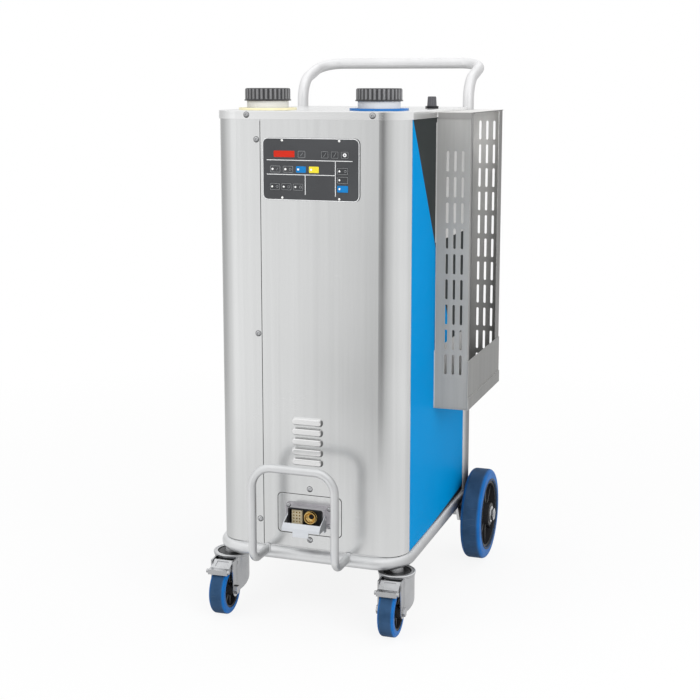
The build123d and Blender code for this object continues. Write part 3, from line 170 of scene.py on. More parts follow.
def effect(name, inputs, outputs):
    """A shader node group, with the sockets of its inputs and the node of its outputs."""
    group = bpy.data.node_groups.new(name, "ShaderNodeTree")
    for label, kind, value in inputs:
        socket = group.interface.new_socket(label, in_out="INPUT", socket_type=kind)
        socket.default_value = value
    for label, kind in outputs:
        group.interface.new_socket(label, in_out="OUTPUT", socket_type=kind)
    return group, add(group, "NodeGroupInput").outputs, add(group, "NodeGroupOutput")


def use(tree, group, **inputs):
    """Place a shared group in a tree and return its outputs."""
    node = add(tree, "ShaderNodeGroup", node_tree=group)
    plug(tree, node, {label.replace("_", " "): value for label, value in inputs.items()})
    return node.outputs


def finish(name):
    """A new material: its tree, its shader and its object coordinates."""
    finishes[name] = bpy.data.materials.new(name)
    finishes[name].use_nodes = True
    tree = finishes[name].node_tree
    place = add(tree, "ShaderNodeTexCoord").outputs["Object"]
    return tree, tree.nodes["Principled BSDF"], place


def screen(red, green, blue):
    """A colour as a screen shows it, 0 to 255, turned into the linear colour of a shader."""
    parts = [channel / 255 for channel in (red, green, blue)]
    linear = [p / 12.92 if p <= 0.04045 else ((p + 0.055) / 1.055) ** 2.4 for p in parts]
    return (*linear, 1.0)


print("a grey of 128 on a screen is", round(screen(128, 128, 128)[0], 3), "in a shader")

# %% [markdown]
# ## The studio
# The trolley stands on a pale floor in a white room. The room lights it softly from all sides, and three
# large lamps give it a lit side and a shadow. Steel shows what is around it, so for reflections the room
# has one tall dark flag in front of the trolley, and walls whose tone changes slowly to the sides: these
# draw the soft bands on the rounded corners. The camera looks down, so most of what the steel mirrors is
# floor, and the same tones run on across the far floor.

# %% Room tones
WHITE = (1.0, 1.0, 1.0, 1.0)
# Bearing in degrees, with 0 straight in front of the trolley, and the wall's level there
ROOM_WALLS = (
    (-180, 1.0), (-150, 0.86), (-115, 0.6), (-89, 0.68), (-69, 0.79), (-54, 0.88), (-38, 0.98), (-26, 1.0),
    (-19, 0.86), (-12, 0.5), (-3, 0.2), (4, 0.2), (12, 0.44), (26, 0.62), (53, 0.8), (86, 0.88), (130, 0.86),
    (180, 1.0),
)
room_tone, given, gives = effect("room_tone", [("Heading", VECTOR, (0, 0, 0))], [("Tone", COLOUR)])
tree = room_tone
heading = axes_of(tree, given["Heading"])
bearing = maths(tree, "ARCTAN2", heading["X"], maths(tree, "MULTIPLY", heading["Y"], -1.0))
walls = add(tree, "ShaderNodeValToRGB", {"Fac": ramp(tree, bearing, -math.pi, math.pi)})
stops = walls.color_ramp.elements
for degrees, _ in ROOM_WALLS[1:-1]:
    stops.new(degrees / 360 + 0.5)
for stop, (_, level) in zip(stops, ROOM_WALLS):
    stop.color = (level, level, level, 1.0)
plug(tree, gives, {"Tone": walls.outputs["Color"]})
print("room with", len(stops), "tones")


# %% Mesh from points
def new_mesh(name, verts, faces, finish_name=None, edges=()):
    """A mesh from corners and faces, with its finish."""
    mesh = bpy.data.meshes.new(name)
    mesh.from_pydata(verts, edges, faces)
    if finish_name:
        mesh.materials.append(finishes[finish_name])
    return mesh


def put(name, data):
    """A new object in the scene."""
    made = bpy.data.objects.new(name, data)
    scene.collection.objects.link(made)
    return made


def background_rays(tree):
    """One where a ray comes from the camera, a reflection or a clear piece."""
    path = add(tree, "ShaderNodeLightPath").outputs
    seen = maths(tree, "MAXIMUM", path["Is Camera Ray"], path["Is Glossy Ray"])
    return maths(tree, "MAXIMUM", seen, path["Is Transmission Ray"])


# %% Floor
FLAG_NEAR, FLAG_FAR = 1.1, 2.2
MIRRORED_FLOOR = (0.79, 0.79, 0.79, 1.0)
FLOOR_GLOW = 0.88
FLOOR_NEAR, FLOOR_FAR = 0.5, 2.2
FLOOR_HALF = 30.0
FLOOR_Z = -0.0003

tree, shader, place = finish("studio_floor")
plug(tree, shader, {"Base Color": (0.9, 0.9, 0.9, 1.0), "Roughness": 0.9, "Specular IOR Level": 0.1})
away = vectors(tree, "LENGTH", {0: place})
fade = ramp(tree, away, FLOOR_NEAR, FLOOR_FAR, FLOOR_GLOW, 1.0)
far_tone = use(tree, room_tone, Heading=place)["Tone"]
mirror_tone = between(tree, ramp(tree, away, FLAG_NEAR, FLAG_FAR), MIRRORED_FLOOR, far_tone)
mirrored = add(tree, "ShaderNodeLightPath").outputs["Is Glossy Ray"]
glow_colour = between(tree, mirrored, WHITE, mirror_tone)
glow = add(tree, "ShaderNodeEmission", {"Color": glow_colour, "Strength": 1.0})
lift = maths(tree, "MULTIPLY", background_rays(tree), fade)
mixed = add(tree, "ShaderNodeMixShader", {0: lift, 1: shader.outputs[0], 2: glow.outputs[0]})
plug(tree, tree.nodes["Material Output"], {"Surface": mixed.outputs[0]})
corners = [(sx * FLOOR_HALF, sy * FLOOR_HALF, FLOOR_Z) for sx, sy in ((-1, -1), (1, -1), (1, 1), (-1, 1))]
studio_floor = put("studio_floor", new_mesh("studio_floor", corners, [range(4)], "studio_floor"))
print("floor", 2 * FLOOR_HALF, "m wide")

# %% Lamps
# Name, place, aim, width and power of each square soft lamp
LAMPS = (
    ("key_lamp", (-1.9, -2.7, 2.5), (0, 0, 0.5), 2.6, 46),
    ("fill_lamp", (2.3, -2.1, 1.6), (0.2, 0.1, 0.6), 2.2, 62),
    ("top_lamp", (0.2, 0.6, 3.1), (0, 0, 0.6), 2.6, 26),
)
for name, place, aim, size, power in LAMPS:
    light = bpy.data.lights.new(name, "AREA")
    light.size = size
    light.energy = power
    lamp = put(name, light)
    lamp.location = place
    lamp.rotation_euler = (Vector(aim) - Vector(place)).to_track_quat("-Z", "Y").to_euler()
    lamp.visible_camera = False
    lamp.visible_glossy = False
print("lamps", len(LAMPS))

# %% World
AMBIENT = 0.52
CEILING_LOW, CEILING_HIGH = 0.3, 0.75
world = bpy.data.worlds.new("studio_world")
scene.world = world
world.use_nodes = True
world.cycles.sampling_method = "NONE"
tree = world.node_tree
outlook = add(tree, "ShaderNodeTexCoord").outputs["Generated"]
walls = use(tree, room_tone, Heading=outlook)["Tone"]
room = between(tree, ramp(tree, axes_of(tree, outlook)["Z"], CEILING_LOW, CEILING_HIGH), walls, WHITE)
mirrored = add(tree, "ShaderNodeLightPath").outputs["Is Glossy Ray"]
level = ramp(tree, background_rays(tree), 0.0, 1.0, AMBIENT, 1.0)
plug(tree, tree.nodes["Background"], {"Color": between(tree, mirrored, WHITE, room), "Strength": level})
print("world level", AMBIENT)

# %% [markdown]
# ## Effects that several finishes share
# Brushed steel, plated steel and turned brass all have a grain of fine lines and a faint smear where hands
# have wiped them. Moulded plastic has a fine spark-eroded grain. These effects are node groups: each is
# built once and placed in each material with that material's own values.

# %% Brushed grain and scratches
PLACE = ("Place", VECTOR, (0, 0, 0))
STREAK_SCALE = 0.07
SCRATCH_LEANS = (0.5, -0.8, 1.9)
SCRATCH_STRETCH = (1.0, 22.0, 22.0)

brush_grain, given, gives = effect(
    "brush_grain",
    [PLACE, ("Lines", VECTOR, (900, 900, 9)), ("Smear Size", VALUE, 4.0)],
    [("Grain", VALUE), ("Streak", VALUE), ("Smear", VALUE)],
)
tree = brush_grain
stretched = vectors(tree, "MULTIPLY", {0: given["Place"], 1: given["Lines"]})
streaks = vectors(tree, "SCALE", {0: stretched, "Scale": STREAK_SCALE})
plug(tree, gives, {
    "Grain": noise(tree, stretched, 1.0, 3.0),
    "Streak": ramp(tree, noise(tree, streaks, 1.0, 3.0), 0.3, 0.7),
    "Smear": ramp(tree, noise(tree, given["Place"], given["Smear Size"]), 0.35, 0.65),
})

fine_scratches, given, gives = effect(
    "fine_scratches", [PLACE, ("Scale", VALUE, 60.0), ("Spread", VALUE, 0.5)], [("Scratch", VALUE)]
)
tree = fine_scratches
lines = []
for lean in SCRATCH_LEANS:
    rotation = (lean, 0.6 * lean, 1.3 * lean)
    inputs = {"Vector": given["Place"], "Rotation": rotation, "Scale": SCRATCH_STRETCH}
    turned = add(tree, "ShaderNodeMapping", inputs).outputs[0]
    lines.append(ramp(tree, noise(tree, turned, given["Scale"], 1.0), 0.7, 0.76))
crossed = maths(tree, "MAXIMUM", maths(tree, "MAXIMUM", *lines[:2]), lines[2])
patches = ramp(tree, noise(tree, given["Place"], 9.0), given["Spread"], 0.75)
plug(tree, gives, {"Scratch": maths(tree, "MULTIPLY", crossed, patches)})
print("groups", brush_grain.name, fine_scratches.name)

# %% Moulded grain and rubbed edges
mould_grain, given, gives = effect(
    "mould_grain",
    [PLACE, ("Grains", VALUE, 1800.0), ("Flow", VALUE, 12.0)],
    [("Height", VALUE), ("Tone", VALUE)],
)
tree = mould_grain
plug(tree, gives, {
    "Height": noise(tree, given["Place"], given["Grains"], 1.0),
    "Tone": ramp(tree, noise(tree, given["Place"], given["Flow"], 3.0), 0.3, 0.7),
})

rubbed_edges, given, gives = effect(
    "rubbed_edges", [PLACE, ("Radius", VALUE, 0.0008)], [("Edge", VALUE), ("Rounded", VECTOR)]
)
tree = rubbed_edges
rounded = add(tree, "ShaderNodeBevel", {"Radius": given["Radius"]}, samples=4).outputs[0]
flat = add(tree, "ShaderNodeNewGeometry").outputs["Normal"]
worn = ramp(tree, vectors(tree, "DOT_PRODUCT", {0: rounded, 1: flat}), 0.99, 0.86)
broken = ramp(tree, noise(tree, given["Place"], 160.0, 3.0), 0.35, 0.65)
plug(tree, gives, {"Edge": maths(tree, "MULTIPLY", worn, broken), "Rounded": rounded})
print("groups", mould_grain.name, rubbed_edges.name)

# %% [markdown]
# ## Metal finishes
# The sheets are satin stainless steel: almost a mirror along the grain, blurred across it, so a smooth base
# with a stretched noise in the roughness and a very fine bump gives the look. The tubes are the same metal
# with more handling marks, and the casters are bright zinc plate over pressed steel. Some finishes get
# painted shade where a face looks down at the floor or out to the side: their colour is darkened there,
# standing in for the dimmer part of the room that the steel would mirror.


# %% Metal finish
def raise_surface(tree, height, depth, normal=None):
    """Turn a height into a bumped normal."""
    inputs = {"Height": height, "Strength": 0.6, "Distance": depth}
    if normal is not None:
        inputs["Normal"] = normal
    return add(tree, "ShaderNodeBump", inputs).outputs["Normal"]


def metal(name, dark, light, rough, lines, scratch=0.5, metallic=1.0, edge=0.0008, grain_depth=0.00001):
    """A metal finish: grain lines, a wiped smear, scratches and rubbed edges."""
    tree, shader, place = finish(name)
    grain = use(tree, brush_grain, Place=place, Lines=lines, Smear_Size=5.0)
    marks = use(tree, fine_scratches, Place=place, Scale=55.0, Spread=scratch)["Scratch"]
    edges = use(tree, rubbed_edges, Place=place, Radius=edge)
    lined = add(tree, "ShaderNodeMix", {0: 0.55, 2: grain["Grain"], 3: grain["Streak"]}).outputs[0]
    tone = add(tree, "ShaderNodeMix", {0: 0.35, 2: lined, 3: grain["Smear"]}).outputs[0]
    sheen = between(tree, tone, screen(*dark), screen(*light))
    bright = screen(*[min(255, channel + 14) for channel in light])
    scratched = between(tree, maths(tree, "MULTIPLY", marks, 0.45), sheen, bright)
    blur = ramp(tree, grain["Smear"], 0.0, 1.0, *rough)
    plug(tree, shader, {
        "Base Color": between(tree, edges["Edge"], scratched, bright),
        "Roughness": maths(tree, "ADD", blur, maths(tree, "MULTIPLY", marks, 0.12)),
        "Metallic": metallic,
        "Normal": raise_surface(tree, grain["Grain"], grain_depth, edges["Rounded"]),
    })


print("shared effects", len(bpy.data.node_groups))


# %% Painted shade by facing
def own_colour(name):
    """A finish's tree, its shader, and what feeds its colour so far."""
    tree = finishes[name].node_tree
    shader = tree.nodes["Principled BSDF"]
    return tree, shader, shader.inputs["Base Color"].links[0].from_socket


def paint_shade_by_facing(name, axis, low, high, tone, beyond=None):
    """Paint shade into a finish: multiply a darker tone in where faces look along an axis and, if given, lie
    beyond a place.
    """
    tree, shader, own = own_colour(name)
    around = add(tree, "ShaderNodeTexCoord").outputs
    mask = ramp(tree, axes_of(tree, around["Normal"])[axis], low, high)
    if beyond:
        along, start, end = beyond
        mask = maths(tree, "MULTIPLY", mask, ramp(tree, axes_of(tree, around["Object"])[along], start, end))
    inputs = {0: mask, 6: own, 7: (tone, tone, tone, 1.0)}
    shaded_colour = add(tree, "ShaderNodeMix", inputs, data_type="RGBA", blend_type="MULTIPLY")
    plug(tree, shader, {"Base Color": shaded_colour.outputs[2]})


print("finishes so far", len(finishes))

# %% Metals
UPRIGHT = (1100, 1100, 10)
ALONG_X = (10, 900, 900)
EVEN = (420, 420, 420)
BROAD = (900, 900, 20)
AROUND_X = (900, 12, 12)
AROUND_Y = (30, 900, 30)
# Dark and light tone, roughness, grain lines, scratch spread, metallic, edge radius, grain depth
METALS = {
    "casing_steel": ((220, 221, 221), (238, 239, 239), (0.19, 0.25), UPRIGHT, 0.62),
    # The louvred sheet has its own copy of the casing steel, to carry the louvres' painted highlight and
    # shade
    "louvre_steel": ((220, 221, 221), (238, 239, 239), (0.19, 0.25), UPRIGHT, 0.62),
    "lid_steel": ((236, 237, 237), (250, 250, 250), (0.22, 0.28), ALONG_X, 0.6),
    "carrier_steel": ((156, 156, 155), (188, 188, 186), (0.5, 0.6), BROAD, 0.45, 0.25, 0.0008, 0.00003),
    # A lighter copy of the carrier steel for the rear wall, brought down again by its painted shade
    "carrier_rear_steel": ((214, 213, 211), (240, 239, 237), (0.5, 0.6), BROAD, 0.45, 0.25),
    "tube_steel": ((228, 229, 230), (247, 248, 249), (0.4, 0.5), EVEN, 0.42),
    "handle_steel": ((221, 221, 222), (238, 238, 239), (0.36, 0.46), EVEN, 0.42, 0.4),
    # A dark steel on the caster stems, which paints the shade in the gap inside each crown
    "stem_steel": ((66, 66, 68), (104, 104, 106), (0.3, 0.45), EVEN),
    "screw_steel": ((186, 187, 189), (226, 227, 229), (0.16, 0.26), EVEN),
    "plated_steel": ((190, 191, 193), (228, 229, 231), (0.2, 0.32), EVEN, 0.45),
    "lever_steel": ((214, 218, 224), (242, 245, 249), (0.3, 0.4), ALONG_X, 0.5, 0.75),
    "axle_steel": ((150, 150, 152), (186, 187, 189), (0.25, 0.4), AROUND_X),
    "vessel_steel": ((170, 171, 172), (200, 201, 202), (0.3, 0.42), UPRIGHT),
    "turned_brass": ((222, 182, 104), (244, 214, 146), (0.18, 0.3), AROUND_Y, 0.5, 1.0, 0.0005),
    "cast_alloy": ((172, 170, 174), (204, 202, 206), (0.42, 0.54), EVEN, 0.6, 0.5, 0.0008, 0.00008),
}
for name, row in METALS.items():
    metal(name, *row)
print("metals", len(METALS))

# %% Painted shade on faces that look away
hood_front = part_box("carrier_rear_wall")[0].y
# Painted shade: faces that look down or to the side are darkened, the handle's posts darker where the carrier
# shades them, and the carrier's rear wall darker under its hood and towards the bottom of its bay
# Finish, axis, where the painted shade starts and is full, its tone, and where along an axis it starts and is
# full
PAINTED_SHADES = (
    ("carrier_steel", "X", 0.3, 0.8, 0.55, ("X", 0.22, 0.24)),
    ("carrier_rear_steel", "X", 0.3, 0.8, 0.22),
    ("carrier_rear_steel", "Y", -0.3, -0.8, 0.42, ("Y", hood_front + 20 * MM, hood_front + 10 * MM)),
    ("carrier_rear_steel", "Y", -0.3, -0.8, 0.6, ("Z", 0.985, 0.86)),
    ("carrier_rear_steel", "Y", -0.3, -0.8, 0.7, ("Z", 0.86, 0.56)),
    ("casing_steel", "X", -0.2, -0.85, 0.7),
    ("casing_steel", "X", 0.9, 1.0, 0.84),
    ("louvre_steel", "X", -0.2, -0.85, 0.7),
    ("louvre_steel", "X", 0.9, 1.0, 0.84),
    ("tube_steel", "X", 0.35, 1.0, 0.58),
    ("tube_steel", "Z", -0.25, -0.95, 0.58),
    ("handle_steel", "X", 0.35, 1.0, 0.66),
    ("handle_steel", "Z", -0.25, -0.95, 0.52),
    ("handle_steel", "X", 0.1, 0.7, 0.42, ("Z", 1.0, 0.9)),
    ("lever_steel", "X", 0.4, 0.9, 0.36),
    ("screw_steel", "Z", 0.05, -0.75, 0.16),
    ("plated_steel", "Z", 0.35, -0.75, 0.3),
)
for row in PAINTED_SHADES:
    paint_shade_by_facing(*row)
print("tones", len(PAINTED_SHADES))

# %% [markdown]
# ## Plastic, rubber and ink
# Moulded plastic keeps the fine grain of its tool, so the bump comes from tiny noise and the colour drifts
# a little as the melt flowed. Printed ink and lamp lenses are smoother rows of the same table. The caps have
# a painted highlight: they are paler on the crest of each rib, and an attribute of their mesh tells where
# that is.


# %% Plastics
def plastic(name, colour, rough, drift=0.12, grains=1800.0, depth=0.00003, gloss=0.3, edge=0.0006, wear=0.35):
    """A moulded finish: grain, colour drift and paler rubbed edges."""
    tree, shader, place = finish(name)
    grain = use(tree, mould_grain, Place=place, Grains=grains, Flow=14.0)
    edges = use(tree, rubbed_edges, Place=place, Radius=edge)
    low = screen(*[channel * (1 - drift) for channel in colour])
    high = screen(*[min(255, channel * (1 + drift * 0.6)) for channel in colour])
    pale = screen(*[channel + (200 - channel) * 0.35 for channel in colour])
    rubbed = maths(tree, "MULTIPLY", edges["Edge"], wear)
    plug(tree, shader, {
        "Base Color": between(tree, rubbed, between(tree, grain["Tone"], low, high), pale),
        "Roughness": ramp(tree, grain["Tone"], 0.0, 1.0, rough + 0.06, rough - 0.04),
        "Specular IOR Level": gloss,
        "Normal": raise_surface(tree, grain["Height"], depth, edges["Rounded"]),
    })


# Colour, roughness, colour drift, grain size, grain depth, gloss, edge radius, edge wear
PLASTICS = {
    "cap_plastic": ((50, 50, 52), 0.3, 0.12, 1800.0, 0.00003, 0.5),
    "knob_plastic": ((34, 34, 36), 0.4),
    "knob_grey": ((92, 92, 96), 0.4),
    "rim_plastic": ((38, 38, 40), 0.45),
    "tank_plastic": ((216, 216, 215), 0.45, 0.04),
    "water_blue": ((46, 118, 192), 0.35, 0.05),
    "detergent_yellow": ((250, 242, 200), 0.35, 0.03),
    "panel_plastic": ((71, 72, 74), 0.4, 0.05, 2600.0, 0.000015, 0.12, 0.0004, 0.2),
    "key_plastic": ((63, 64, 66), 0.4, 0.04, 2600.0, 0.000012, 0.12, 0.0004, 0.25),
    "dark_rubber": ((44, 44, 45), 0.6, 0.12, 900.0, 0.00005, 0.15),
    "insert_plastic": ((186, 174, 146), 0.5, 0.06),
    "board_resin": ((30, 96, 60), 0.4, 0.12, 900.0),
    "pump_enamel": ((58, 60, 64), 0.4, 0.12, 700.0, 0.00005),
    "tray_enamel": ((30, 30, 31), 0.5, 0.12, 1200.0, 0.00005),
    "pale_ink": ((232, 233, 234), 0.4, 0.04, 2200.0, 0.00001),
    "grey_ink": ((158, 160, 162), 0.4, 0.04, 2200.0, 0.00001),
    "white_lens": ((240, 240, 238), 0.25, 0.03, 900.0, 0.00001),
    "blue_lens": ((14, 118, 184), 0.25, 0.05, 900.0, 0.00001),
    "yellow_lens": ((228, 212, 56), 0.25, 0.05, 900.0, 0.00001),
    "red_glass": ((196, 38, 16), 0.22, 0.05, 900.0, 0.00001),
}
for name, row in PLASTICS.items():
    plastic(name, *row)
# Painted highlight: paler colour on the crest of each cap rib
tree, shader, own = own_colour("cap_plastic")
crest = add(tree, "ShaderNodeAttribute", attribute_name="crest").outputs["Fac"]
plug(tree, shader, {"Base Color": between(tree, crest, own, screen(126, 126, 128))})
print("plastics", len(PLASTICS))

# %% [markdown]
# ## Two colours in one piece
# The socket's insert is one moulding in two colours: black, with a beige block for the contacts. The
# socket's housing is cast grey outside and black inside. Such changes lie on flat planes, so a box in
# object space picks the colour. The same helper paints a highlight on the louvres, which stand out from
# the sheet, paints the carrier's mounting strips lighter as if lit, and makes the knob's skirt black.


# %% Paint a box
def paint_box(name, centre, reach, inside, outside=None):
    """Give a finish another colour inside a box, outside it or both; None keeps its own."""
    tree, shader, own = own_colour(name)
    axes = axes_of(tree, add(tree, "ShaderNodeTexCoord").outputs["Object"])
    mask = 1.0
    for axis, at, half in zip("XYZ", centre, reach):
        mask = maths(tree, "MULTIPLY", maths(tree, "COMPARE", axes[axis], at, half), mask)
    plug(tree, shader, {"Base Color": between(tree, mask, outside or own, inside or own)})


def middle(low, high):
    """The middle of a box."""
    return [(first + second) / 2 for first, second in zip(low, high)]


print("finishes to paint on", len(finishes))

# %% Socket and louvres
BLOCK_LEFT = 19.5 * MM
INSERT_PROUD = 12 * MM
BLOCK_PROUD = 7 * MM
SHROUD_PROUD = 24 * MM
# How far each box's middle is off the insert, the shroud or the sheet, and its reach each way
BLOCK_AHEAD, BLOCK_REACH = 7.1 * MM, (10.7 * MM, 7 * MM, 14.2 * MM)
HOLLOW_BEHIND, HOLLOW_REACH = 40.5 * MM, (33.7 * MM, 40 * MM, 17.2 * MM)
RIM_REACH = (50 * MM, 0.6 * MM, 50 * MM)
LOUVRE_AHEAD, LOUVRE_REACH = 6 * MM, (50 * MM, 5 * MM, 65 * MM)
LOUVRE_RISE = 145 * MM
socket_low, socket_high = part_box("socket_plate")
SOCKET_X, _, SOCKET_Z = middle(socket_low, socket_high)
BLOCK_X = SOCKET_X - BLOCK_LEFT
INSERT_FRONT = socket_low.y - INSERT_PROUD
BLOCK_FRONT = INSERT_FRONT - BLOCK_PROUD
SHROUD_FRONT = socket_low.y - SHROUD_PROUD
block_centre = (BLOCK_X, INSERT_FRONT - BLOCK_AHEAD, SOCKET_Z)
paint_box("insert_plastic", block_centre, BLOCK_REACH, None, screen(26, 26, 27))
hollow_centre = (SOCKET_X, SHROUD_FRONT + HOLLOW_BEHIND, SOCKET_Z)
paint_box("cast_alloy", hollow_centre, HOLLOW_REACH, screen(24, 24, 25))
paint_box("cast_alloy", (SOCKET_X, SHROUD_FRONT, SOCKET_Z), RIM_REACH, screen(40, 40, 42))
louvre_centre = (SOCKET_X, socket_high.y - LOUVRE_AHEAD, SOCKET_Z + LOUVRE_RISE)
# Painted highlight on the louvres' faces, then painted shade on their right ends and lower sides
paint_box("louvre_steel", louvre_centre, LOUVRE_REACH, screen(249, 249, 249))
off_the_sheet = ("Y", socket_high.y - 0.3 * MM, socket_high.y - MM)
paint_shade_by_facing("louvre_steel", "X", 0.3, 0.7, 0.2, off_the_sheet)
paint_shade_by_facing("louvre_steel", "Z", -0.3, -0.75, 0.45, off_the_sheet)
print("socket at", round(SOCKET_X, 4), round(SOCKET_Z, 4))

# %% Mounting strips and knob skirt
STRIP_HEIGHT = 0.6
STRIP_REACH = (2.5 * MM, 1, 1)
KNOB_REACH = 20 * MM
KNOB_SKIRT_TOP = 4.7 * MM
strip_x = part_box("carrier_front_wall")[0].x
# Painted light: the carrier's mounting strip is painted lighter than its steel, as it shows lit through the
# slots
paint_box("carrier_steel", (strip_x, 0, STRIP_HEIGHT), STRIP_REACH, screen(206, 206, 205))
knob_low, knob_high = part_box("regulator_knob")
knob_x, knob_y, _ = middle(knob_low, knob_high)
skirt_centre = (knob_x, knob_y, knob_low.z + KNOB_SKIRT_TOP / 2)
paint_box("knob_grey", skirt_centre, (KNOB_REACH, KNOB_REACH, KNOB_SKIRT_TOP / 2), screen(26, 26, 28))
print("knob at", round(knob_x, 4), round(knob_y, 4))

# %% [markdown]
# ## Blue tyres
# The tyres are blue rubber. The side walls stay clean and saturated, while the tread is scuffed to a dusty
# grey blue. The face's own direction tells the two apart: a side wall looks along the axle, which is X.

# %% Tyre rubber
tree, shader, place = finish("tyre_rubber")
grain = use(tree, mould_grain, Place=place, Grains=1100.0, Flow=30.0)
marks = use(tree, fine_scratches, Place=place, Scale=40.0, Spread=0.35)["Scratch"]
sideways = axes_of(tree, add(tree, "ShaderNodeTexCoord").outputs["Normal"])["X"]
wall = ramp(tree, maths(tree, "ABSOLUTE", sideways), 0.12, 0.7)
clean = between(tree, grain["Tone"], screen(0, 92, 164), screen(2, 106, 184))
scuffed = between(tree, grain["Tone"], screen(36, 64, 94), screen(50, 80, 114))
rubber = between(tree, wall, scuffed, clean)
plug(tree, shader, {
    "Base Color": between(tree, maths(tree, "MULTIPLY", marks, 0.3), rubber, screen(150, 165, 185)),
    "Roughness": ramp(tree, wall, 0.0, 1.0, 0.72, 0.46),
    "Specular IOR Level": 0.2,
    "Normal": raise_surface(tree, grain["Height"], 0.00006),
})
print("made", finishes["tyre_rubber"].name)

# %% [markdown]
# ## The painted side sheets
# Each side sheet is blue with a charcoal field that starts at the top front corner and falls towards the
# rear in one straight edge. The edge is a line in the side view, so a sum of Y and Z in object space draws
# it exactly. Paint is smooth with a faint ripple. Rays that have bounced see a greyer sheet, so the blue
# doesn't tint the bare steel beside it.

# %% Two-tone paint
EDGE_FALL = 1.57
EDGE_START_Y = -0.2141
EDGE_START_Z = 0.988
EDGE_SOFT = 0.0004
BOUNCE_GREY = 0.7
tree, shader, place = finish("side_paint")
grain = use(tree, mould_grain, Place=place, Grains=260.0, Flow=3.0)
edges = use(tree, rubbed_edges, Place=place, Radius=0.0006)
axes = axes_of(tree, place)
leaning = maths(tree, "ADD", axes["Z"], maths(tree, "MULTIPLY", axes["Y"], EDGE_FALL))
edge_value = EDGE_START_Z + EDGE_FALL * EDGE_START_Y
field = ramp(tree, leaning, edge_value - EDGE_SOFT, edge_value + EDGE_SOFT)
blue = between(tree, grain["Tone"], screen(0, 133, 198), screen(0, 141, 206))
charcoal = between(tree, grain["Tone"], screen(45, 49, 49), screen(53, 57, 57))
path = add(tree, "ShaderNodeLightPath").outputs
bounced = maths(tree, "MAXIMUM", path["Is Diffuse Ray"], path["Is Glossy Ray"])
greyed = maths(tree, "MULTIPLY", bounced, BOUNCE_GREY)
plug(tree, shader, {
    "Base Color": between(tree, greyed, between(tree, field, blue, charcoal), screen(128, 128, 128)),
    "Roughness": ramp(tree, field, 0.0, 1.0, 0.42, 0.3),
    "Specular IOR Level": 0.008,
    "Normal": raise_surface(tree, grain["Height"], 0.00002, edges["Rounded"]),
})
print("made", finishes["side_paint"].name)

# %% [markdown]
# ## Dress the solids
# The record says which material slot each solid has, and a slot without a row here has a finish of its own
# name. A few solids of one slot get their own finish: the lid catches light along its width, and the
# carrier is a rougher, darker sheet than the casing.

# %% Assign finishes
slot_finish = {
    "brushed_sheet": "casing_steel",
    "blue_sheet": "side_paint",
    "black_tray": "tray_enamel",
    "blue_tyre": "tyre_rubber",
    "black_rim": "rim_plastic",
    "dark_cap": "cap_plastic",
    "blue_ring": "water_blue",
    "yellow_ring": "detergent_yellow",
    "panel_black": "panel_plastic",
    "window_dark": "panel_plastic",
    "key_grey": "key_plastic",
    "board_green": "board_resin",
    "cast_grey": "cast_alloy",
    "insert_beige": "insert_plastic",
    "brass_fitting": "turned_brass",
    "black_knob": "knob_plastic",
    "pump_paint": "pump_enamel",
}
own_finish = {
    "lid": "lid_steel",
    "front_panel_right": "louvre_steel",
    "push_handle": "handle_steel",
    "caster_heads": "stem_steel",
    "carrier_front_wall": "carrier_steel",
    "carrier_rear_wall": "carrier_rear_steel",
    "carrier_tray": "carrier_steel",
    "regulator_valve": "knob_plastic",
    "start_key_3": "blue_lens",
}
for subpart in frame["record"]["subparts"]:
    node, slot = subpart["node"], subpart["material_slot"]
    for material_slot in nodes[node].material_slots:
        material_slot.material = finishes[own_finish.get(node, slot_finish.get(slot, slot))]

# %% [markdown]
# ## Print on the control panel
# The panel is a dark plate with a pale border, pale dividing lines and a thin grey frame round most of the
# keys and lamps. On the real plate these are screen printed, a few hundredths of a millimetre thick. Flat
# frames of mesh give a crisp line at any distance, and the frame of a key rides on that key, so it goes in
# with it.


# %% Piece helpers
def place_mesh(name, mesh, body, smooth_angle=None):
    """Make a finished mesh a piece that rides on a body."""
    if smooth_angle is not None:
        mesh.shade_smooth()
        mesh.set_sharp_from_angle(angle=math.radians(smooth_angle))
    made = put(name, mesh)
    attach(made, body)
    return made


def piece(name, parts, body, finish_name):
    """A flat-shaded piece from one or more sets of corners and faces."""
    verts, faces = [], []
    for more_verts, more_faces in parts:
        start = len(verts)
        verts += more_verts
        faces += [tuple(start + v for v in face) for face in more_faces]
    return place_mesh(name, new_mesh(name, verts, faces, finish_name), body)


def quads(rings, count, closed=False):
    """Faces between rings of points, and from the last ring to the first one when closed."""
    faces = []
    for ring in range(rings if closed else rings - 1):
        low, high = ring * count, (ring + 1) % rings * count
        for step in range(count):
            following = (step + 1) % count
            faces.append((low + step, low + following, high + following, high + step))
    return faces


# %% Print helpers
CORNER_STEPS = 6
SHARP_CORNER = 0.2 * MM


def rounded_loop(x, z, width, height, corner):
    """Points round a rounded rectangle in the front view, anticlockwise."""
    points = []
    for quarter, (side_x, side_z) in enumerate(((1, 1), (-1, 1), (-1, -1), (1, -1))):
        middle_x = x + side_x * (width / 2 - corner)
        middle_z = z + side_z * (height / 2 - corner)
        for step in range(CORNER_STEPS + 1):
            angle = math.radians(90 * (quarter + step / CORNER_STEPS))
            points.append((middle_x + corner * math.cos(angle), middle_z + corner * math.sin(angle)))
    return points


def at_depths(*loops):
    """Corners of loops of the front view, each given with its depth."""
    return [(x, depth, z) for points, depth in loops for x, z in points]


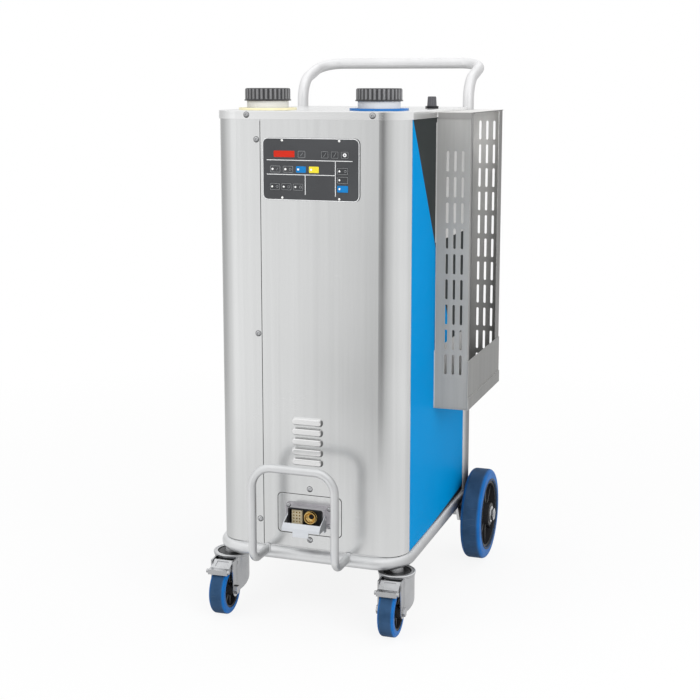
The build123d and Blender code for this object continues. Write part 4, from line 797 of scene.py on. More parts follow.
def plate_parts(x, z, width, height, corner, back, front, bevel):
    """A rounded plate that faces the front, with a bevelled edge."""
    outer = rounded_loop(x, z, width, height, corner)
    inner = rounded_loop(x, z, width - 2 * bevel, height - 2 * bevel, max(corner - bevel, bevel))
    count = len(outer)
    faces = quads(3, count) + [tuple(range(count))[::-1], tuple(range(2 * count, 3 * count))]
    return at_depths((outer, back), (outer, front + bevel), (inner, front)), faces


def frame_parts(x, z, width, height, corner, line, back, front):
    """A thin rounded frame that faces the front."""
    outer = rounded_loop(x, z, width, height, corner)
    inner = rounded_loop(x, z, width - 2 * line, height - 2 * line, max(corner - line, SHARP_CORNER))
    return at_depths((outer, back), (outer, front), (inner, front), (inner, back)), quads(4, len(outer), True)


print("a rounded corner has", CORNER_STEPS, "steps")

# %% Panel size
panel_low, panel_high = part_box("control_panel")
PANEL_X, _, PANEL_Z = middle(panel_low, panel_high)
PANEL_FRONT = panel_low.y
PANEL_WIDTH = panel_high.x - panel_low.x
PANEL_HEIGHT = panel_high.z - panel_low.z
print("panel", round(PANEL_WIDTH, 4), "by", round(PANEL_HEIGHT, 4), "front at", round(PANEL_FRONT, 4))

# %% Border and dividers
INK = 0.12 * MM
INK_BEVEL = 0.04 * MM
BORDER_INSET = 0.4 * MM
BORDER_CORNER = 10.8 * MM
BORDER_LINE = 1.3 * MM
DIVIDER_CORNER = 0.28 * MM
# Place from the panel's middle, width and height
DIVIDERS = (
    (-2.5, 17.0, 173.0, 1.3),
    (-20.0, -10.2, 138.0, 1.3),
    (-10.7, -29.5, 1.3, 37.0),
    (49.8, -16.5, 1.3, 67.0),
)


def ink(front):
    """The back and the face of a printed layer."""
    return front + INK, front - INK


border_size = (PANEL_WIDTH - BORDER_INSET, PANEL_HEIGHT - BORDER_INSET)
parts = [frame_parts(PANEL_X, PANEL_Z, *border_size, BORDER_CORNER, BORDER_LINE, *ink(PANEL_FRONT))]
for x, z, width, height in DIVIDERS:
    place = (PANEL_X + x * MM, PANEL_Z + z * MM)
    size = (width * MM, height * MM)
    parts.append(plate_parts(*place, *size, DIVIDER_CORNER, *ink(PANEL_FRONT), INK_BEVEL))
piece("panel_print", parts, "trolley", "pale_ink")
print("panel border and", len(DIVIDERS), "dividers printed")

# %% Plain marks
MARK_LINE = 0.6 * MM
MARK_RADIUS = 2.4 * MM
SLASH_LEAN = math.radians(35)


def slash_parts(x, z, front, length):
    """A leaning stroke on a face that looks to the front."""
    there = Matrix.Translation((x, 0, z))
    lean = there @ Matrix.Rotation(SLASH_LEAN, 4, "Y") @ Matrix.Translation((-x, 0, -z))
    verts, faces = plate_parts(x, z, MARK_LINE, length, SHARP_CORNER, *ink(front), INK_BEVEL)
    return [tuple(lean @ Vector(vert)) for vert in verts], faces


def circle_parts(x, z, front, radius=MARK_RADIUS, line=MARK_LINE):
    """A ring on a face that looks to the front."""
    return frame_parts(x, z, 2 * radius, 2 * radius, radius, line, *ink(front))


print("marks are", MARK_LINE, "m wide")

# %% Key frames
KEY_FLANGE = 1.5 * MM
KEY_CORNER = 1.5 * MM
KEY_LINE = 0.55 * MM
KEY_INSET = 0.5 * MM
KEY_SLASH = 9 * MM
KEY_RING_IN = 5.4 * MM
EYE_RADIUS = 3.6 * MM
EYE_LINE = 2.3 * MM
SLASHED = ("settings_key_1", "settings_key_2")
RINGED = ("steam_key_1", "steam_key_2", "steam_key_3", "start_key_1")
UNFRAMED = "start_key_3"
EYE_KEY = "settings_key_3"
keys = [body for body in frame["bodies"] if "_key_" in body]
for key in keys:
    low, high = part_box(key)
    x, _, z = middle(low, high)
    width = high.x - low.x - 2 * KEY_FLANGE
    height = high.z - low.z - 2 * KEY_FLANGE
    size = (width - KEY_INSET, height - KEY_INSET)
    marks = [frame_parts(x, z, *size, KEY_CORNER, KEY_LINE, *ink(low.y))]
    if key in SLASHED:
        marks.append(slash_parts(x, z, low.y, KEY_SLASH))
    if key in RINGED:
        marks.append(circle_parts(high.x - KEY_FLANGE - KEY_RING_IN, z, low.y))
    if key != UNFRAMED:
        piece(f"{key}_frame", marks, key, "grey_ink")
low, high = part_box(EYE_KEY)
x, _, z = middle(low, high)
eye = circle_parts(x, z, low.y, EYE_RADIUS, EYE_LINE)
piece(f"{EYE_KEY}_eye", [eye], EYE_KEY, "pale_ink")
print("framed", len(keys) - 1, "keys")

# %% [markdown]
# ## Display and lamps
# The display is one red window. Beside it is a status field, and below it a row of four lamps: two dark
# ones in thin frames, a blue one and a yellow one. They stand where the plain window solids are, so they
# replace them.

# %% Display and lamp fields
LAMP_ROW_X = -32.3
LAMP_PITCH = 26.1
# Place from the panel's middle, width and height: a status field, then a row of four lamps
WINDOWS = [(-17.8, 28.3, 14.4, 12.8)]
WINDOWS += [(LAMP_ROW_X + (number - 1.5) * LAMP_PITCH, -0.2, 20.0, 12.2) for number in range(4)]
DARK_FIELDS = 3
DISPLAY = (-53.3, 28.6, 42.6, 12.5)
FIELD_BACK = PANEL_FRONT + MM
FIELD_BEVEL = 0.1 * MM
STATUS_SLASH, LAMP_SLASH = 8 * MM, 6 * MM
SLASH_RIGHT, RING_RIGHT = 4 * MM, 4.2 * MM
DISPLAY_PROUD = 0.2 * MM
DISPLAY_BEVEL = 0.3 * MM
field_places = []
for x, z, width, height in WINDOWS:
    field_places.append((PANEL_X + x * MM, PANEL_Z + z * MM, width * MM, height * MM, KEY_CORNER))
fields = [plate_parts(*place, FIELD_BACK, PANEL_FRONT, FIELD_BEVEL) for place in field_places]
dark_places = field_places[:DARK_FIELDS]
status, first_lamp, second_lamp = [place[:2] for place in dark_places]
frame_depth = (PANEL_FRONT + INK, PANEL_FRONT - 2 * INK)
marks = [frame_parts(*place, KEY_LINE, *frame_depth) for place in dark_places]
marks += [
    slash_parts(*status, PANEL_FRONT, STATUS_SLASH),
    slash_parts(first_lamp[0] + SLASH_RIGHT, first_lamp[1], PANEL_FRONT, LAMP_SLASH),
    circle_parts(second_lamp[0] + RING_RIGHT, second_lamp[1], PANEL_FRONT),
]
lamp_fields = piece("lamp_fields", fields[:DARK_FIELDS], "trolley", "panel_plastic")
piece("blue_lamp_field", [fields[-2]], "trolley", "blue_lens")
piece("yellow_lamp_field", [fields[-1]], "trolley", "yellow_lens")
piece("lamp_frames", marks, "trolley", "grey_ink")
x, z, width, height = [value * MM for value in DISPLAY]
display_place = (PANEL_X + x, PANEL_Z + z, width, height, KEY_CORNER)
window = plate_parts(*display_place, FIELD_BACK, PANEL_FRONT - DISPLAY_PROUD, DISPLAY_BEVEL)
display = piece("display_window", [window], "trolley", "red_glass")
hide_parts("panel_windows")
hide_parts("panel_windows")
print("display and", len(WINDOWS), "lamp fields")

# %% [markdown]
# ## Turned pieces by Geometry Nodes
# Caps, lamp lenses and knobs are round, so one tree can turn them all: a line of points carries a radius, a
# circle is swept along it, and a cosine of the angle presses ribs into the side. Modelling every rib by
# hand would take longer and would be hard to change.

# %% Tree helpers
INTEGER = "NodeSocketInt"
MATERIAL = "NodeSocketMaterial"
GEOMETRY = "NodeSocketGeometry"


def geometry_tree(name, inputs):
    """A Geometry Nodes tree with named inputs and one geometry output."""
    made = bpy.data.node_groups.new(name, "GeometryNodeTree")
    for label, kind in [("Geometry", GEOMETRY), *inputs]:
        made.interface.new_socket(label, in_out="INPUT", socket_type=kind)
    made.interface.new_socket("Geometry", in_out="OUTPUT", socket_type=GEOMETRY)
    return made, add(made, "NodeGroupInput").outputs, add(made, "NodeGroupOutput")


def attribute(tree, name, kind="FLOAT"):
    """Read a named attribute of the points."""
    return add(tree, "GeometryNodeInputNamedAttribute", {"Name": name}, data_type=kind).outputs["Attribute"]


def sweep(tree, line, facets, scale, caps=False):
    """Sweep a circle along a line of points, scaled at each one."""
    spine = add(tree, "GeometryNodeMeshToCurve", {"Mesh": line}).outputs[0]
    section = add(tree, "GeometryNodeCurvePrimitiveCircle", {"Resolution": facets, "Radius": 1.0}).outputs[0]
    inputs = {"Curve": spine, "Profile Curve": section, "Fill Caps": caps, "Scale": scale}
    return add(tree, "GeometryNodeCurveToMesh", inputs).outputs[0]


def end_tree(tree, geometry, given, gives):
    """Realize what was placed and give it its finish."""
    real = add(tree, "GeometryNodeRealizeInstances", {0: geometry}).outputs[0]
    done = add(tree, "GeometryNodeSetMaterial", {"Geometry": real, "Material": given["Finish"]}).outputs[0]
    plug(tree, gives, {"Geometry": done})


def grow(seed_mesh, tree, values):
    """Run a tree on a seed mesh, its inputs set by identifier, and return the result as a plain mesh."""
    seed = put("seed", seed_mesh)
    modifier = seed.modifiers.new("grow", "NODES")
    modifier.node_group = tree
    for item in tree.interface.items_tree:
        if item.in_out == "INPUT" and item.name in values:
            modifier[item.identifier] = values[item.name]
    ready = seed.evaluated_get(bpy.context.evaluated_depsgraph_get())
    made = bpy.data.meshes.new_from_object(ready)
    seed.modifiers.remove(modifier)
    bpy.data.objects.remove(seed)
    return made


print("groups so far", len(bpy.data.node_groups))

# %% Lathe tree
turned_piece, given, gives = geometry_tree("turned_piece", [
    ("Facets", INTEGER), ("Ribs", INTEGER), ("Rib Depth", VALUE), ("Rib Low", VALUE), ("Rib High", VALUE),
    ("Rib Fade", VALUE), ("Finish", MATERIAL),
])
tree = turned_piece
swept = sweep(tree, given["Geometry"], given["Facets"], attribute(tree, "turn_radius"), True)
spot = add(tree, "GeometryNodeInputPosition").outputs[0]
axes = axes_of(tree, spot)
angle = maths(tree, "ARCTAN2", axes["Y"], axes["X"])
groove = ramp(tree, maths(tree, "COSINE", maths(tree, "MULTIPLY", angle, given["Ribs"])), 0.55, -0.75)
low_end = maths(tree, "SUBTRACT", axes["Z"], given["Rib Low"])
high_end = maths(tree, "SUBTRACT", given["Rib High"], axes["Z"])
inside = maths(tree, "DIVIDE", maths(tree, "MINIMUM", low_end, high_end), given["Rib Fade"])
ribbed = ramp(tree, inside, 0.0, 1.0)
pressed = maths(tree, "MULTIPLY", maths(tree, "MULTIPLY", groove, ribbed), given["Rib Depth"])
outwards = vectors(tree, "NORMALIZE", {0: vectors(tree, "MULTIPLY", {0: spot, 1: (1.0, 1.0, 0.0)})})
inwards = vectors(tree, "SCALE", {0: outwards, "Scale": maths(tree, "MULTIPLY", pressed, -1.0)})
crest = maths(tree, "MULTIPLY", maths(tree, "SUBTRACT", 1.0, groove), ribbed)
inputs = {"Geometry": swept, "Name": "crest", "Value": crest}
marked = add(tree, "GeometryNodeStoreNamedAttribute", inputs, data_type="FLOAT", domain="POINT").outputs[0]
moved = add(tree, "GeometryNodeSetPosition", {"Geometry": marked, "Offset": inwards}).outputs[0]
end_tree(tree, moved, given, gives)
print("tree", turned_piece.name, len(turned_piece.nodes), "nodes")


# %% Turn a profile
def turn(profile, finish_name, facets=48, ribs=0, rib_depth=0.0, rib_low=0.0, rib_high=1.0, rib_fade=0.001):
    """Turn a profile of (radius, height) points, in metres and upwards, about the Z axis."""
    links = [(step, step + 1) for step in range(len(profile) - 1)]
    line = new_mesh("profile", [(0, 0, z) for _, z in profile], [], edges=links)
    radii = line.attributes.new("turn_radius", "FLOAT", "POINT")
    radii.data.foreach_set("value", [radius for radius, _ in profile])
    values = {"Facets": facets, "Ribs": ribs, "Rib Depth": rib_depth, "Rib Low": rib_low}
    values |= {"Rib High": rib_high, "Rib Fade": rib_fade, "Finish": finishes[finish_name]}
    return grow(line, turned_piece, values)


print("a turned piece takes", len(turned_piece.interface.items_tree) - 1, "inputs")

# %% [markdown]
# ## Filler caps
# The caps are moulded with thirty grip ribs, a rounded shoulder and a slightly wider foot. The ribs start
# at the foot and fade out high on the shoulder, so the top stays smooth.

# %% Ribbed caps
CAP_RIBS = 30
CAP_WALL = 1.6 * MM
CAP_FOOT_TOP = 3.4 * MM
CAP_SHOULDER = 3.6 * MM
CAP_WALL_STEPS = 17
CAP_BEND_STEPS = 8
CAP_RIB = {"ribs": CAP_RIBS, "rib_depth": 2.2 * MM, "rib_low": 2.8 * MM, "rib_fade": 1.6 * MM}
CAP_SMOOTH_TOP = 0.8 * MM
# How far in from the widest place, and how high, in millimetres
CAP_FOOT = ((2.4, 0.0), (0.4, 0.05), (0.0, 0.5), (0.0, 1.9), (0.4, 2.4), (1.6, 2.8), (1.6, 3.4))
for side in ("water", "detergent"):
    low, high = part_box(f"{side}_cap")
    cap_x, cap_y, _ = middle(low, high)
    radius = (high.x - low.x) / 2
    tall = high.z - low.z
    wall = radius - CAP_WALL
    shoulder_z = tall - CAP_SHOULDER
    profile = [(radius - inset * MM, rise * MM) for inset, rise in CAP_FOOT]
    for step in range(1, CAP_WALL_STEPS):
        profile.append((wall, CAP_FOOT_TOP + (shoulder_z - CAP_FOOT_TOP) * step / CAP_WALL_STEPS))
    for step in range(CAP_BEND_STEPS + 1):
        bend = math.radians(90 * step / CAP_BEND_STEPS)
        inset = CAP_SHOULDER * (1 - math.cos(bend))
        profile.append((wall - inset, shoulder_z + CAP_SHOULDER * math.sin(bend)))
    cap = turn(profile, "cap_plastic", CAP_RIBS * 8, rib_high=tall - CAP_SMOOTH_TOP, **CAP_RIB)
    cap.transform(Matrix.Translation((cap_x, cap_y, low.z)))
    made = place_mesh(f"{side}_cap_ribbed", cap, f"{side}_cap", 40)
    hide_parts(f"{side}_cap")
    print(made.name, len(cap.polygons), "faces")

# %% [markdown]
# ## Regulator knob
# The knob is a fluted cone on a thin round skirt above a short neck, turned by the same tree as the caps.

# %% Fluted knob
FLUTES = 12
FLUTE_DEPTH = 1.0 * MM
GRIP_FOOT = 10.6
GRIP_TAPER = 0.13
GRIP_STEPS = 14
GRIP_CROWN = 1.4 * MM
# Radius and height of the foot and the neck, in millimetres
KNOB_FOOT = ((9.5, 0.0), (9.5, 1.2), (5, 1.8), (5, 2.9))
tall = knob_high.z - knob_low.z
skirt = (knob_high.x - knob_low.x) / 2
grip = tall - KNOB_SKIRT_TOP - GRIP_CROWN
profile = [(radius * MM, rise * MM) for radius, rise in KNOB_FOOT]
profile += [(skirt - 0.3 * MM, 2.9 * MM), (skirt, 3.2 * MM), (skirt, 4.2 * MM)]
profile += [(skirt - 0.5 * MM, KNOB_SKIRT_TOP), (GRIP_FOOT * MM, KNOB_SKIRT_TOP + 0.1 * MM)]
for step in range(1, GRIP_STEPS + 1):
    profile.append(((GRIP_FOOT - GRIP_TAPER * step) * MM, KNOB_SKIRT_TOP + grip * step / GRIP_STEPS))
profile += [(8.2 * MM, tall - 0.5 * MM), (7.4 * MM, tall)]
knob = turn(profile, "knob_grey", FLUTES * 8, FLUTES, FLUTE_DEPTH, KNOB_SKIRT_TOP, tall - MM, MM)
knob.transform(Matrix.Translation((knob_x, knob_y, knob_low.z)))
fluted = place_mesh("regulator_knob_fluted", knob, "regulator_knob", 35)
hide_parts("regulator_knob")
print(fluted.name, len(knob.polygons), "faces")

# %% [markdown]
# ## Small lenses on the panel
# Each lamp, and each key that can light up, has a small round lens. They are turned as flat domes and
# tipped to face the front.

# %% Lenses
LENS_IN = 4.4 * MM
LENS_EDGE = 0.25 * MM
LENS_DOME = 0.55 * MM
LENS_SWEEP = 82
LENS_STEPS = 5
LAMP_LENS = 2.2 * MM
KEY_LENS = 1.9 * MM
FACE_FRONT = Matrix.Rotation(math.radians(90), 4, "X")


def lens(name, place, radius, body):
    """A domed lens on a face that looks to the front."""
    profile = [(radius, 0.0), (radius, LENS_EDGE)]
    for step in range(1, LENS_STEPS + 1):
        bend = math.radians(LENS_SWEEP * step / LENS_STEPS)
        profile.append((radius * math.cos(bend), LENS_EDGE + LENS_DOME * math.sin(bend)))
    dome = turn(profile, "white_lens", 24)
    dome.transform(Matrix.Translation(place) @ FACE_FRONT)
    place_mesh(name, dome, body, 35)


for number, (x, z, width, _) in enumerate(WINDOWS[1:], 1):
    left = PANEL_X + (x - width / 2) * MM
    place = (left + LENS_IN, PANEL_FRONT, PANEL_Z + z * MM)
    lens(f"lamp_{number}_lens", place, LAMP_LENS, "trolley")
lit_keys = [key for key in keys if not key.startswith("settings")]
for key in lit_keys:
    low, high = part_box(key)
    place = (low.x + KEY_FLANGE + LENS_IN, low.y, (low.z + high.z) / 2)
    lens(f"{key}_lens", place, KEY_LENS, key)
print("lenses", len(WINDOWS[1:]) + len(lit_keys))

# %% [markdown]
# ## Screws
# The casing is held by button-head screws with a hexagon socket. One head is modelled as rings of points,
# the inner ones on a hexagon, and a tree sets a copy on every place, each turned by a different amount as a
# fitter leaves them.

# %% Rings of points
RING_POINTS = 48


def ring_points(radius, height, hexagon=False):
    """A ring of points, round or on a hexagon of that inner radius."""
    points = []
    for step in range(RING_POINTS):
        angle = 2 * math.pi * step / RING_POINTS
        reach = radius
        if hexagon:
            reach = radius / math.cos((angle + math.pi / 6) % (math.pi / 3) - math.pi / 6)
        points.append((reach * math.cos(angle), reach * math.sin(angle), height))
    return points


def rings_mesh(name, rings, finish_name=None, closed=False):
    """A skin over rings of points: a closed band, or one with its first and last ring filled."""
    verts = [point for ring in rings for point in ring]
    faces = quads(len(rings), RING_POINTS, closed)
    if not closed:
        faces.append(tuple(range(RING_POINTS))[::-1])
        faces.append(tuple(range(len(verts) - RING_POINTS, len(verts))))
    return new_mesh(name, verts, faces, finish_name)


def round_rings(profile, scale=1.0):
    """Round rings of points from (radius, height) pairs."""
    return [ring_points(radius * scale, height * scale) for radius, height in profile]


print("a ring has", RING_POINTS, "points")

# %% Screw head
# Radius and height of each ring, for a head of radius one
HEAD_SWEEP = 62
HEAD_STEPS = 5
HEAD_EDGE = 0.05
HEAD_DOME = 0.5
HEX_SOCKET = ((0.42, 0.5), (0.4, 0.47), (0.4, 0.12))
SOCKET_FLOOR = (0.05, 0.08)
bends = [math.radians(HEAD_SWEEP * step / HEAD_STEPS) for step in range(1, HEAD_STEPS + 1)]
dome = [(math.cos(bend), HEAD_EDGE + HEAD_DOME * math.sin(bend)) for bend in bends]
head_rings = round_rings([(1.0, -0.06), (1.0, HEAD_EDGE), *dome])
head_rings += [ring_points(radius, height, True) for radius, height in HEX_SOCKET]
head_rings += round_rings([SOCKET_FLOOR])
button_head = rings_mesh("button_head", head_rings)
print("screw head", len(button_head.polygons), "faces")

# %% Placing tree
FULL_TURN = 6.283
set_on_points, given, gives = geometry_tree(
    "set_on_points", [("Piece", "NodeSocketObject"), ("Seed", INTEGER), ("Finish", MATERIAL)]
)
tree = set_on_points
copy = add(tree, "GeometryNodeObjectInfo", {"Object": given["Piece"]}).outputs["Geometry"]
facing = attribute(tree, "facing", "FLOAT_VECTOR")
stand = add(tree, "FunctionNodeAlignRotationToVector", {"Vector": facing}, axis="Z").outputs[0]
spin = add(tree, "FunctionNodeRandomValue", data_type="FLOAT")
plug(tree, spin, {3: FULL_TURN, "Seed": given["Seed"]})
spun = add(tree, "FunctionNodeAxisAngleToRotation", {"Axis": (0, 0, 1), "Angle": spin.outputs[1]}).outputs[0]
rotated = add(tree, "FunctionNodeRotateRotation", {0: stand, 1: spun}, rotation_space="LOCAL").outputs[0]
inputs = {"Points": given["Geometry"], "Instance": copy, "Rotation": rotated}
placed = add(tree, "GeometryNodeInstanceOnPoints", inputs | {"Scale": attribute(tree, "size")}).outputs[0]
end_tree(tree, placed, given, gives)
print("tree", set_on_points.name, len(set_on_points.nodes), "nodes")


# %% Set copies
def set_copies(name, model, places, finish_name, seed=1):
    """Set copies of a model on places of the trolley given as (point, facing, size)."""
    cloud = new_mesh("places", [point for point, _, _ in places], [])
    facing = cloud.attributes.new("facing", "FLOAT_VECTOR", "POINT")
    facing.data.foreach_set("vector", [value for _, direction, _ in places for value in direction])
    size = cloud.attributes.new("size", "FLOAT", "POINT")
    size.data.foreach_set("value", [scale for _, _, scale in places])
    holder = put("model", model)
    mesh = grow(cloud, set_on_points, {"Piece": holder, "Seed": seed, "Finish": finishes[finish_name]})
    bpy.data.objects.remove(holder)
    return place_mesh(name, mesh, "trolley", 32)


# %% Casing screws
TO_FRONT = (0.0, -1.0, 0.0)
TO_REAR = (0.0, 1.0, 0.0)
CASING_SCREW = 5.3 * MM
FLANGE_SCREW = 4.2 * MM
SEAM_SCREW_IN = 7.7 * MM
SEAM_SCREW_DROPS = (807.5, 54.5)
PLATE_SCREW_RISES = (-52.0, 52.0)
LID_SCREW_XS = (-120.5, 132.5)
LID_SCREW_DROP = 8 * MM
FLANGE_X, FLANGE_Z = 42.5 * MM, 17.5 * MM
FLANGE_THICK = 4 * MM
REAR_SCREW_IN = 14 * MM
REAR_SCREW_UP, REAR_SCREW_DOWN = 40 * MM, 50 * MM
SHADOW_WASHER = ((1.12, 0.0), (1.12, 0.05), (1.08, 0.07), (0.2, 0.07))
CORNERS = [(side_x, side_z) for side_x in (-1, 1) for side_z in (-1, 1)]
lid_low, lid_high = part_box("lid")
front_wall = socket_high.y
SEAM_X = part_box("front_panel_left")[1].x
low_screw, high_screw = [lid_high.z - drop * MM for drop in SEAM_SCREW_DROPS]
heights = (low_screw, (low_screw + high_screw) / 2, high_screw)
spots = [(SEAM_X - SEAM_SCREW_IN, front_wall, z) for z in heights]
spots += [(SOCKET_X, front_wall, SOCKET_Z + rise * MM) for rise in PLATE_SCREW_RISES]
spots += [(x * MM, lid_low.y, lid_high.z - LID_SCREW_DROP) for x in LID_SCREW_XS]
steel_screws = [(spot, TO_FRONT, CASING_SCREW) for spot in spots]
for side_x, side_z in CORNERS:
    spot = (SOCKET_X + side_x * FLANGE_X, socket_low.y - FLANGE_THICK, SOCKET_Z + side_z * FLANGE_Z)
    steel_screws.append((spot, TO_FRONT, FLANGE_SCREW))
rear_low, rear_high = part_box("rear_panel")
rear_tall = rear_high.z - rear_low.z
for x in (rear_low.x + REAR_SCREW_IN, rear_high.x - REAR_SCREW_IN):
    for rise in (REAR_SCREW_UP, rear_tall / 2, rear_tall - REAR_SCREW_DOWN):
        steel_screws.append(((x, rear_high.y, rear_low.z + rise), TO_REAR, CASING_SCREW))
casing_screws = set_copies("casing_screws", button_head, steel_screws, "screw_steel", 4)
# Dark washers under the heads, which also paint the ring of shade round each head
shadow_washer = rings_mesh("shadow_washer", round_rings(SHADOW_WASHER))
set_copies("screw_washers", shadow_washer, steel_screws, "dark_rubber")
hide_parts("panel_screws")
print("casing screws", len(steel_screws))

# %% Panel screws
PANEL_SCREW = 2.3 * MM
PANEL_SCREW_X, PANEL_SCREW_Z = 57.5 * MM, 54.3 * MM
white_screws = []
for side_x, side_z in CORNERS:
    spot = (PANEL_X + side_x * PANEL_SCREW_X, PANEL_FRONT, PANEL_Z + side_z * PANEL_SCREW_Z)
    white_screws.append((spot, TO_FRONT, PANEL_SCREW))
panel_screw_heads = set_copies(
    "panel_screw_heads", button_head, white_screws, "white_lens", 9
)
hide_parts("panel_screws")
print("panel screws", len(white_screws))

# %% [markdown]
# ## Painted shadows at the seam and the socket plate
# The two front sheets meet in a narrow gap, and a dark strip in it paints the shadow there. A dark frame,
# a little larger than the socket's plate and set off to its lower left, paints the plate's shadow on the
# sheet. Each shows as one fine dark line, so a narrow plate and a thin frame of mesh are enough.

# %% Painted shadow lines
SEAM_WIDTH = 1.3 * MM
SEAM_SHORT = 18 * MM
SEAM_DEEP = 0.4 * MM
SEAM_PROUD = 0.15 * MM
SEAM_BEVEL = 0.05 * MM
PLATE_SHADOW_WIDER = 2.6 * MM
PLATE_SHADOW_OFF = 0.7 * MM
PLATE_SHADOW_CORNER = 8.5 * MM
PLATE_SHADOW_LINE = 3 * MM
PLATE_SHADOW_PROUD = 0.5 * MM
sheet_low, sheet_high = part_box("front_panel_right")
seam_height = sheet_high.z - sheet_low.z - SEAM_SHORT
seam_place = (SEAM_X, sheet_low.z + seam_height / 2, SEAM_WIDTH, seam_height, SHARP_CORNER)
seam = plate_parts(*seam_place, front_wall + SEAM_DEEP, front_wall - SEAM_PROUD, SEAM_BEVEL)
# A dark strip in the seam's gap paints the shadow there
piece("seam_strip", [seam], "trolley", "dark_rubber")
# A dark frame set off to the lower left of the socket plate paints the plate's shadow line
plate_shadow_size = (socket_high.x - socket_low.x + PLATE_SHADOW_WIDER, socket_high.z - socket_low.z + PLATE_SHADOW_WIDER)
plate_shadow_place = (SOCKET_X - PLATE_SHADOW_OFF, SOCKET_Z - PLATE_SHADOW_OFF, *plate_shadow_size, PLATE_SHADOW_CORNER)
plate_shadow = frame_parts(*plate_shadow_place, PLATE_SHADOW_LINE, front_wall, front_wall - PLATE_SHADOW_PROUD)
piece("socket_gasket", [plate_shadow], "trolley", "dark_rubber")
print("seam", round(seam_height, 3), "m tall")

# %% [markdown]
# ## Contacts and steam coupling
# The beige block has a brass sleeve in each hole, set by the same tree as the screws. The coupling is a
# turned brass piece with a wide mouth and a cone that leads to its bore, where a dark cup paints the shade
# deep in the hole.

# %% Contacts and coupling
# Radius and height of each ring, in millimetres
SLEEVE = ((1.5, -3.0), (1.5, 0.3), (1.0, 0.3), (1.0, -3.0), (0.2, -3.0))
SLEEVE_PITCH = 6.2
COUPLING = (
    (8.0, -66.0), (8.0, 0.0), (13.5, 0.0), (13.5, 1.2), (13.1, 1.6), (12.5, 1.7), (12.5, 6.3), (12.3, 6.8),
    (11.8, 7.0), (10.9, 7.0), (10.5, 6.7), (10.2, 2.0), (9.4, 1.2), (6.0, -2.0), (5.4, -2.2), (5.0, -2.6),
    (5.0, -9.0), (0.3, -9.0),
)
COUPLING_LIP = 7 * MM
# A dark cup deep in the coupling's bore paints the shade inside the hole
BORE_SHADE = ((5.2, -9), (5.2, -3.2), (0.2, -3.6))
sleeve_places = []
for column in (-1, 0, 1):
    for row in (-1.5, -0.5, 0.5, 1.5):
        spot = (BLOCK_X + column * SLEEVE_PITCH * MM, BLOCK_FRONT, SOCKET_Z + row * SLEEVE_PITCH * MM)
        sleeve_places.append((spot, TO_FRONT, MM))
sleeve = rings_mesh("sleeve", round_rings(SLEEVE))
set_copies("contact_sleeves", sleeve, sleeve_places, "turned_brass", 2)
low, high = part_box("steam_coupling")
coupling_x, _, coupling_z = middle(low, high)
mouth_place = Matrix.Translation((coupling_x, low.y + COUPLING_LIP, coupling_z)) @ FACE_FRONT
mouth = rings_mesh("steam_coupling_turned", round_rings(COUPLING, MM), "turned_brass")
bore_shade = rings_mesh("steam_bore", round_rings(BORE_SHADE, MM), "dark_rubber")
for mesh in (mouth, bore_shade):
    mesh.transform(mouth_place)
coupling = place_mesh("steam_coupling_turned", mouth, "trolley", 35)
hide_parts("steam_coupling")
place_mesh("steam_bore", bore_shade, "trolley", 35)
print("sleeves", len(sleeve_places), "coupling", len(mouth.polygons), "faces")

# %% [markdown]
# ## Wheels and casters
# Each rear rim ends in a black flange that laps over the tyre, and each caster's crown has a rolled rim and
# a rolled step over a dark seal. These are closed bands turned about the axle or the swivel, so they ride
# on the wheel or on the fork.


# %% Turned bands
def rolled_edge(radius, height, thick, steps=10):
    """The loop of a rolled edge: a circle about a point of the profile."""
    bends = [2 * math.pi * step / steps for step in range(steps)]
    return [(radius + thick * math.cos(bend), height + thick * math.sin(bend)) for bend in bends]


SWIVEL_X = 176 * MM
SWIVEL_Y = -246.5 * MM
# Radius and height of each corner, in millimetres
RIM_FLANGE = (
    (72.5, 16.0), (79.0, 16.0), (79.6, 21.6), (79.0, 22.9),
    (77.6, 23.2), (76.2, 22.6), (74.6, 19.0), (72.5, 18.6),
)
CROWN_SEAL = ((32.6, 107.2), (33.6, 107.2), (33.6, 110.4), (32.6, 110.4))
CROWN_RIM = rolled_edge(35.0, 116.0, 2.4)
CROWN_STEP = rolled_edge(33.4, 111.2, 1.5)
bands = []
for name, side in (("left", -1), ("right", 1)):
    low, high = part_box(f"rear_tyre_{name}")
    hub = Matrix.Translation((low + high) / 2) @ Matrix.Rotation(math.radians(90 * side), 4, "Y")
    swivel = Matrix.Translation((side * SWIVEL_X, SWIVEL_Y, 0))
    wheel, fork = f"rear_wheel_{name}", f"caster_fork_{name}"
    bands += [
        (f"rear_flange_{name}", RIM_FLANGE, "rim_plastic", wheel, "black_rim", hub),
        (f"crown_rim_{name}", CROWN_RIM, "plated_steel", fork, "plated_steel", swivel),
        (f"crown_step_{name}", CROWN_STEP, "plated_steel", fork, "plated_steel", swivel),
        (f"crown_seal_{name}", CROWN_SEAL, "dark_rubber", fork, "plated_steel", swivel),
    ]
for name, profile, finish_name, body, slot, place in bands:
    mesh = rings_mesh(name, round_rings(profile, MM), finish_name, True)
    mesh.transform(place)
    place_mesh(name, mesh, body, 40)
print("bands", len(bands))

# %% [markdown]
# ## Weld beads
# The hoop's legs and the handle's posts are welded to the base tube. A weld is a row of small overlapping
# drops, so a tree sweeps a circle along a closed path and lets the bead swell and shrink along its length.

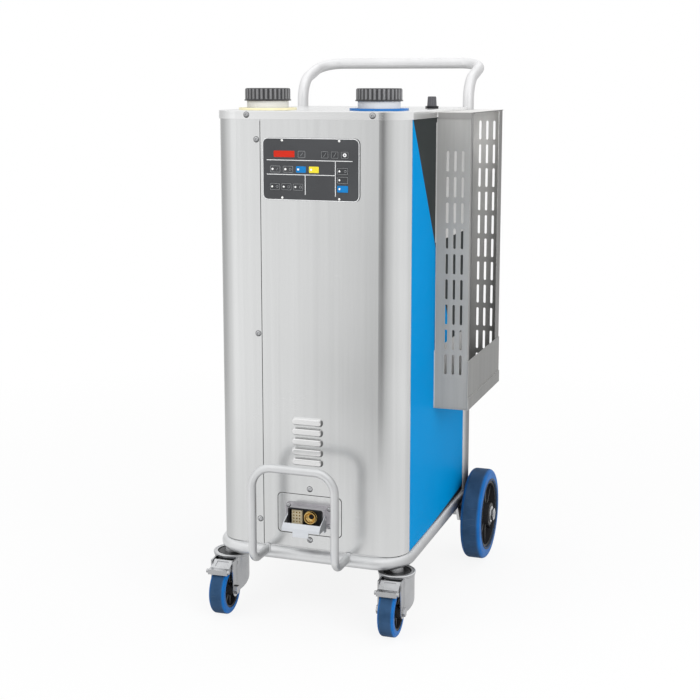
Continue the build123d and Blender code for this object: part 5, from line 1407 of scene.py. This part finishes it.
# %% Bead tree
BEAD_FACETS = 8
BEAD_THIN, BEAD_THICK = 0.78, 1.1
weld_bead, given, gives = geometry_tree(
    "weld_bead", [("Bead", VALUE), ("Ripple", VALUE), ("Finish", MATERIAL)]
)
tree = weld_bead
along = add(tree, "GeometryNodeSplineParameter").outputs["Length"]
wave = maths(tree, "SINE", maths(tree, "DIVIDE", along, given["Ripple"]))
swell = maths(tree, "MULTIPLY", given["Bead"], ramp(tree, wave, -1.0, 1.0, BEAD_THIN, BEAD_THICK))
end_tree(tree, sweep(tree, given["Geometry"], BEAD_FACETS, swell), given, gives)
print("tree", weld_bead.name, len(weld_bead.nodes), "nodes")

# %% Weld the hoop and the posts
BEAD = 1.5 * MM
RIPPLE = 0.45 * MM
WELD_STEPS = 72
# The base tube, the hoop's feet and the handle's posts, in millimetres
RING_RADIUS = 12.5
RING_Z = 136
RING_FRONT_Y = -274.5
HOOP_FOOT_X, HOOP_FOOT_Z, HOOP_WELD = 84.5, 142, 8.2
POST_X, POST_Y, POST_WELD = 192, 213.5, 12.2


def saddle(reach):
    """How far a round tube's surface stands out from its axis at a place across it."""
    return math.sqrt(max(RING_RADIUS**2 - reach**2, 0.0))


loops = []
for side in (-1, 1):
    leg = rolled_edge(side * HOOP_FOOT_X, HOOP_FOOT_Z, HOOP_WELD, WELD_STEPS)
    loops.append([(x, RING_FRONT_Y - saddle(z - RING_Z), z) for x, z in leg])
    post = rolled_edge(side * POST_X, POST_Y, POST_WELD, WELD_STEPS)
    loops.append([(x, y, RING_Z + saddle(x - side * POST_X)) for x, y in post])
points = [tuple(value * MM for value in point) for loop in loops for point in loop]
links = []
for start in range(0, len(points), WELD_STEPS):
    links += [(start + step, start + (step + 1) % WELD_STEPS) for step in range(WELD_STEPS)]
seed = new_mesh("weld_path", points, [], edges=links)
beads = grow(seed, weld_bead, {"Bead": BEAD, "Ripple": RIPPLE, "Finish": finishes["tube_steel"]})
welds = place_mesh("frame_welds", beads, "trolley", 60)
print("welds", len(loops), len(welds.data.polygons), "faces")
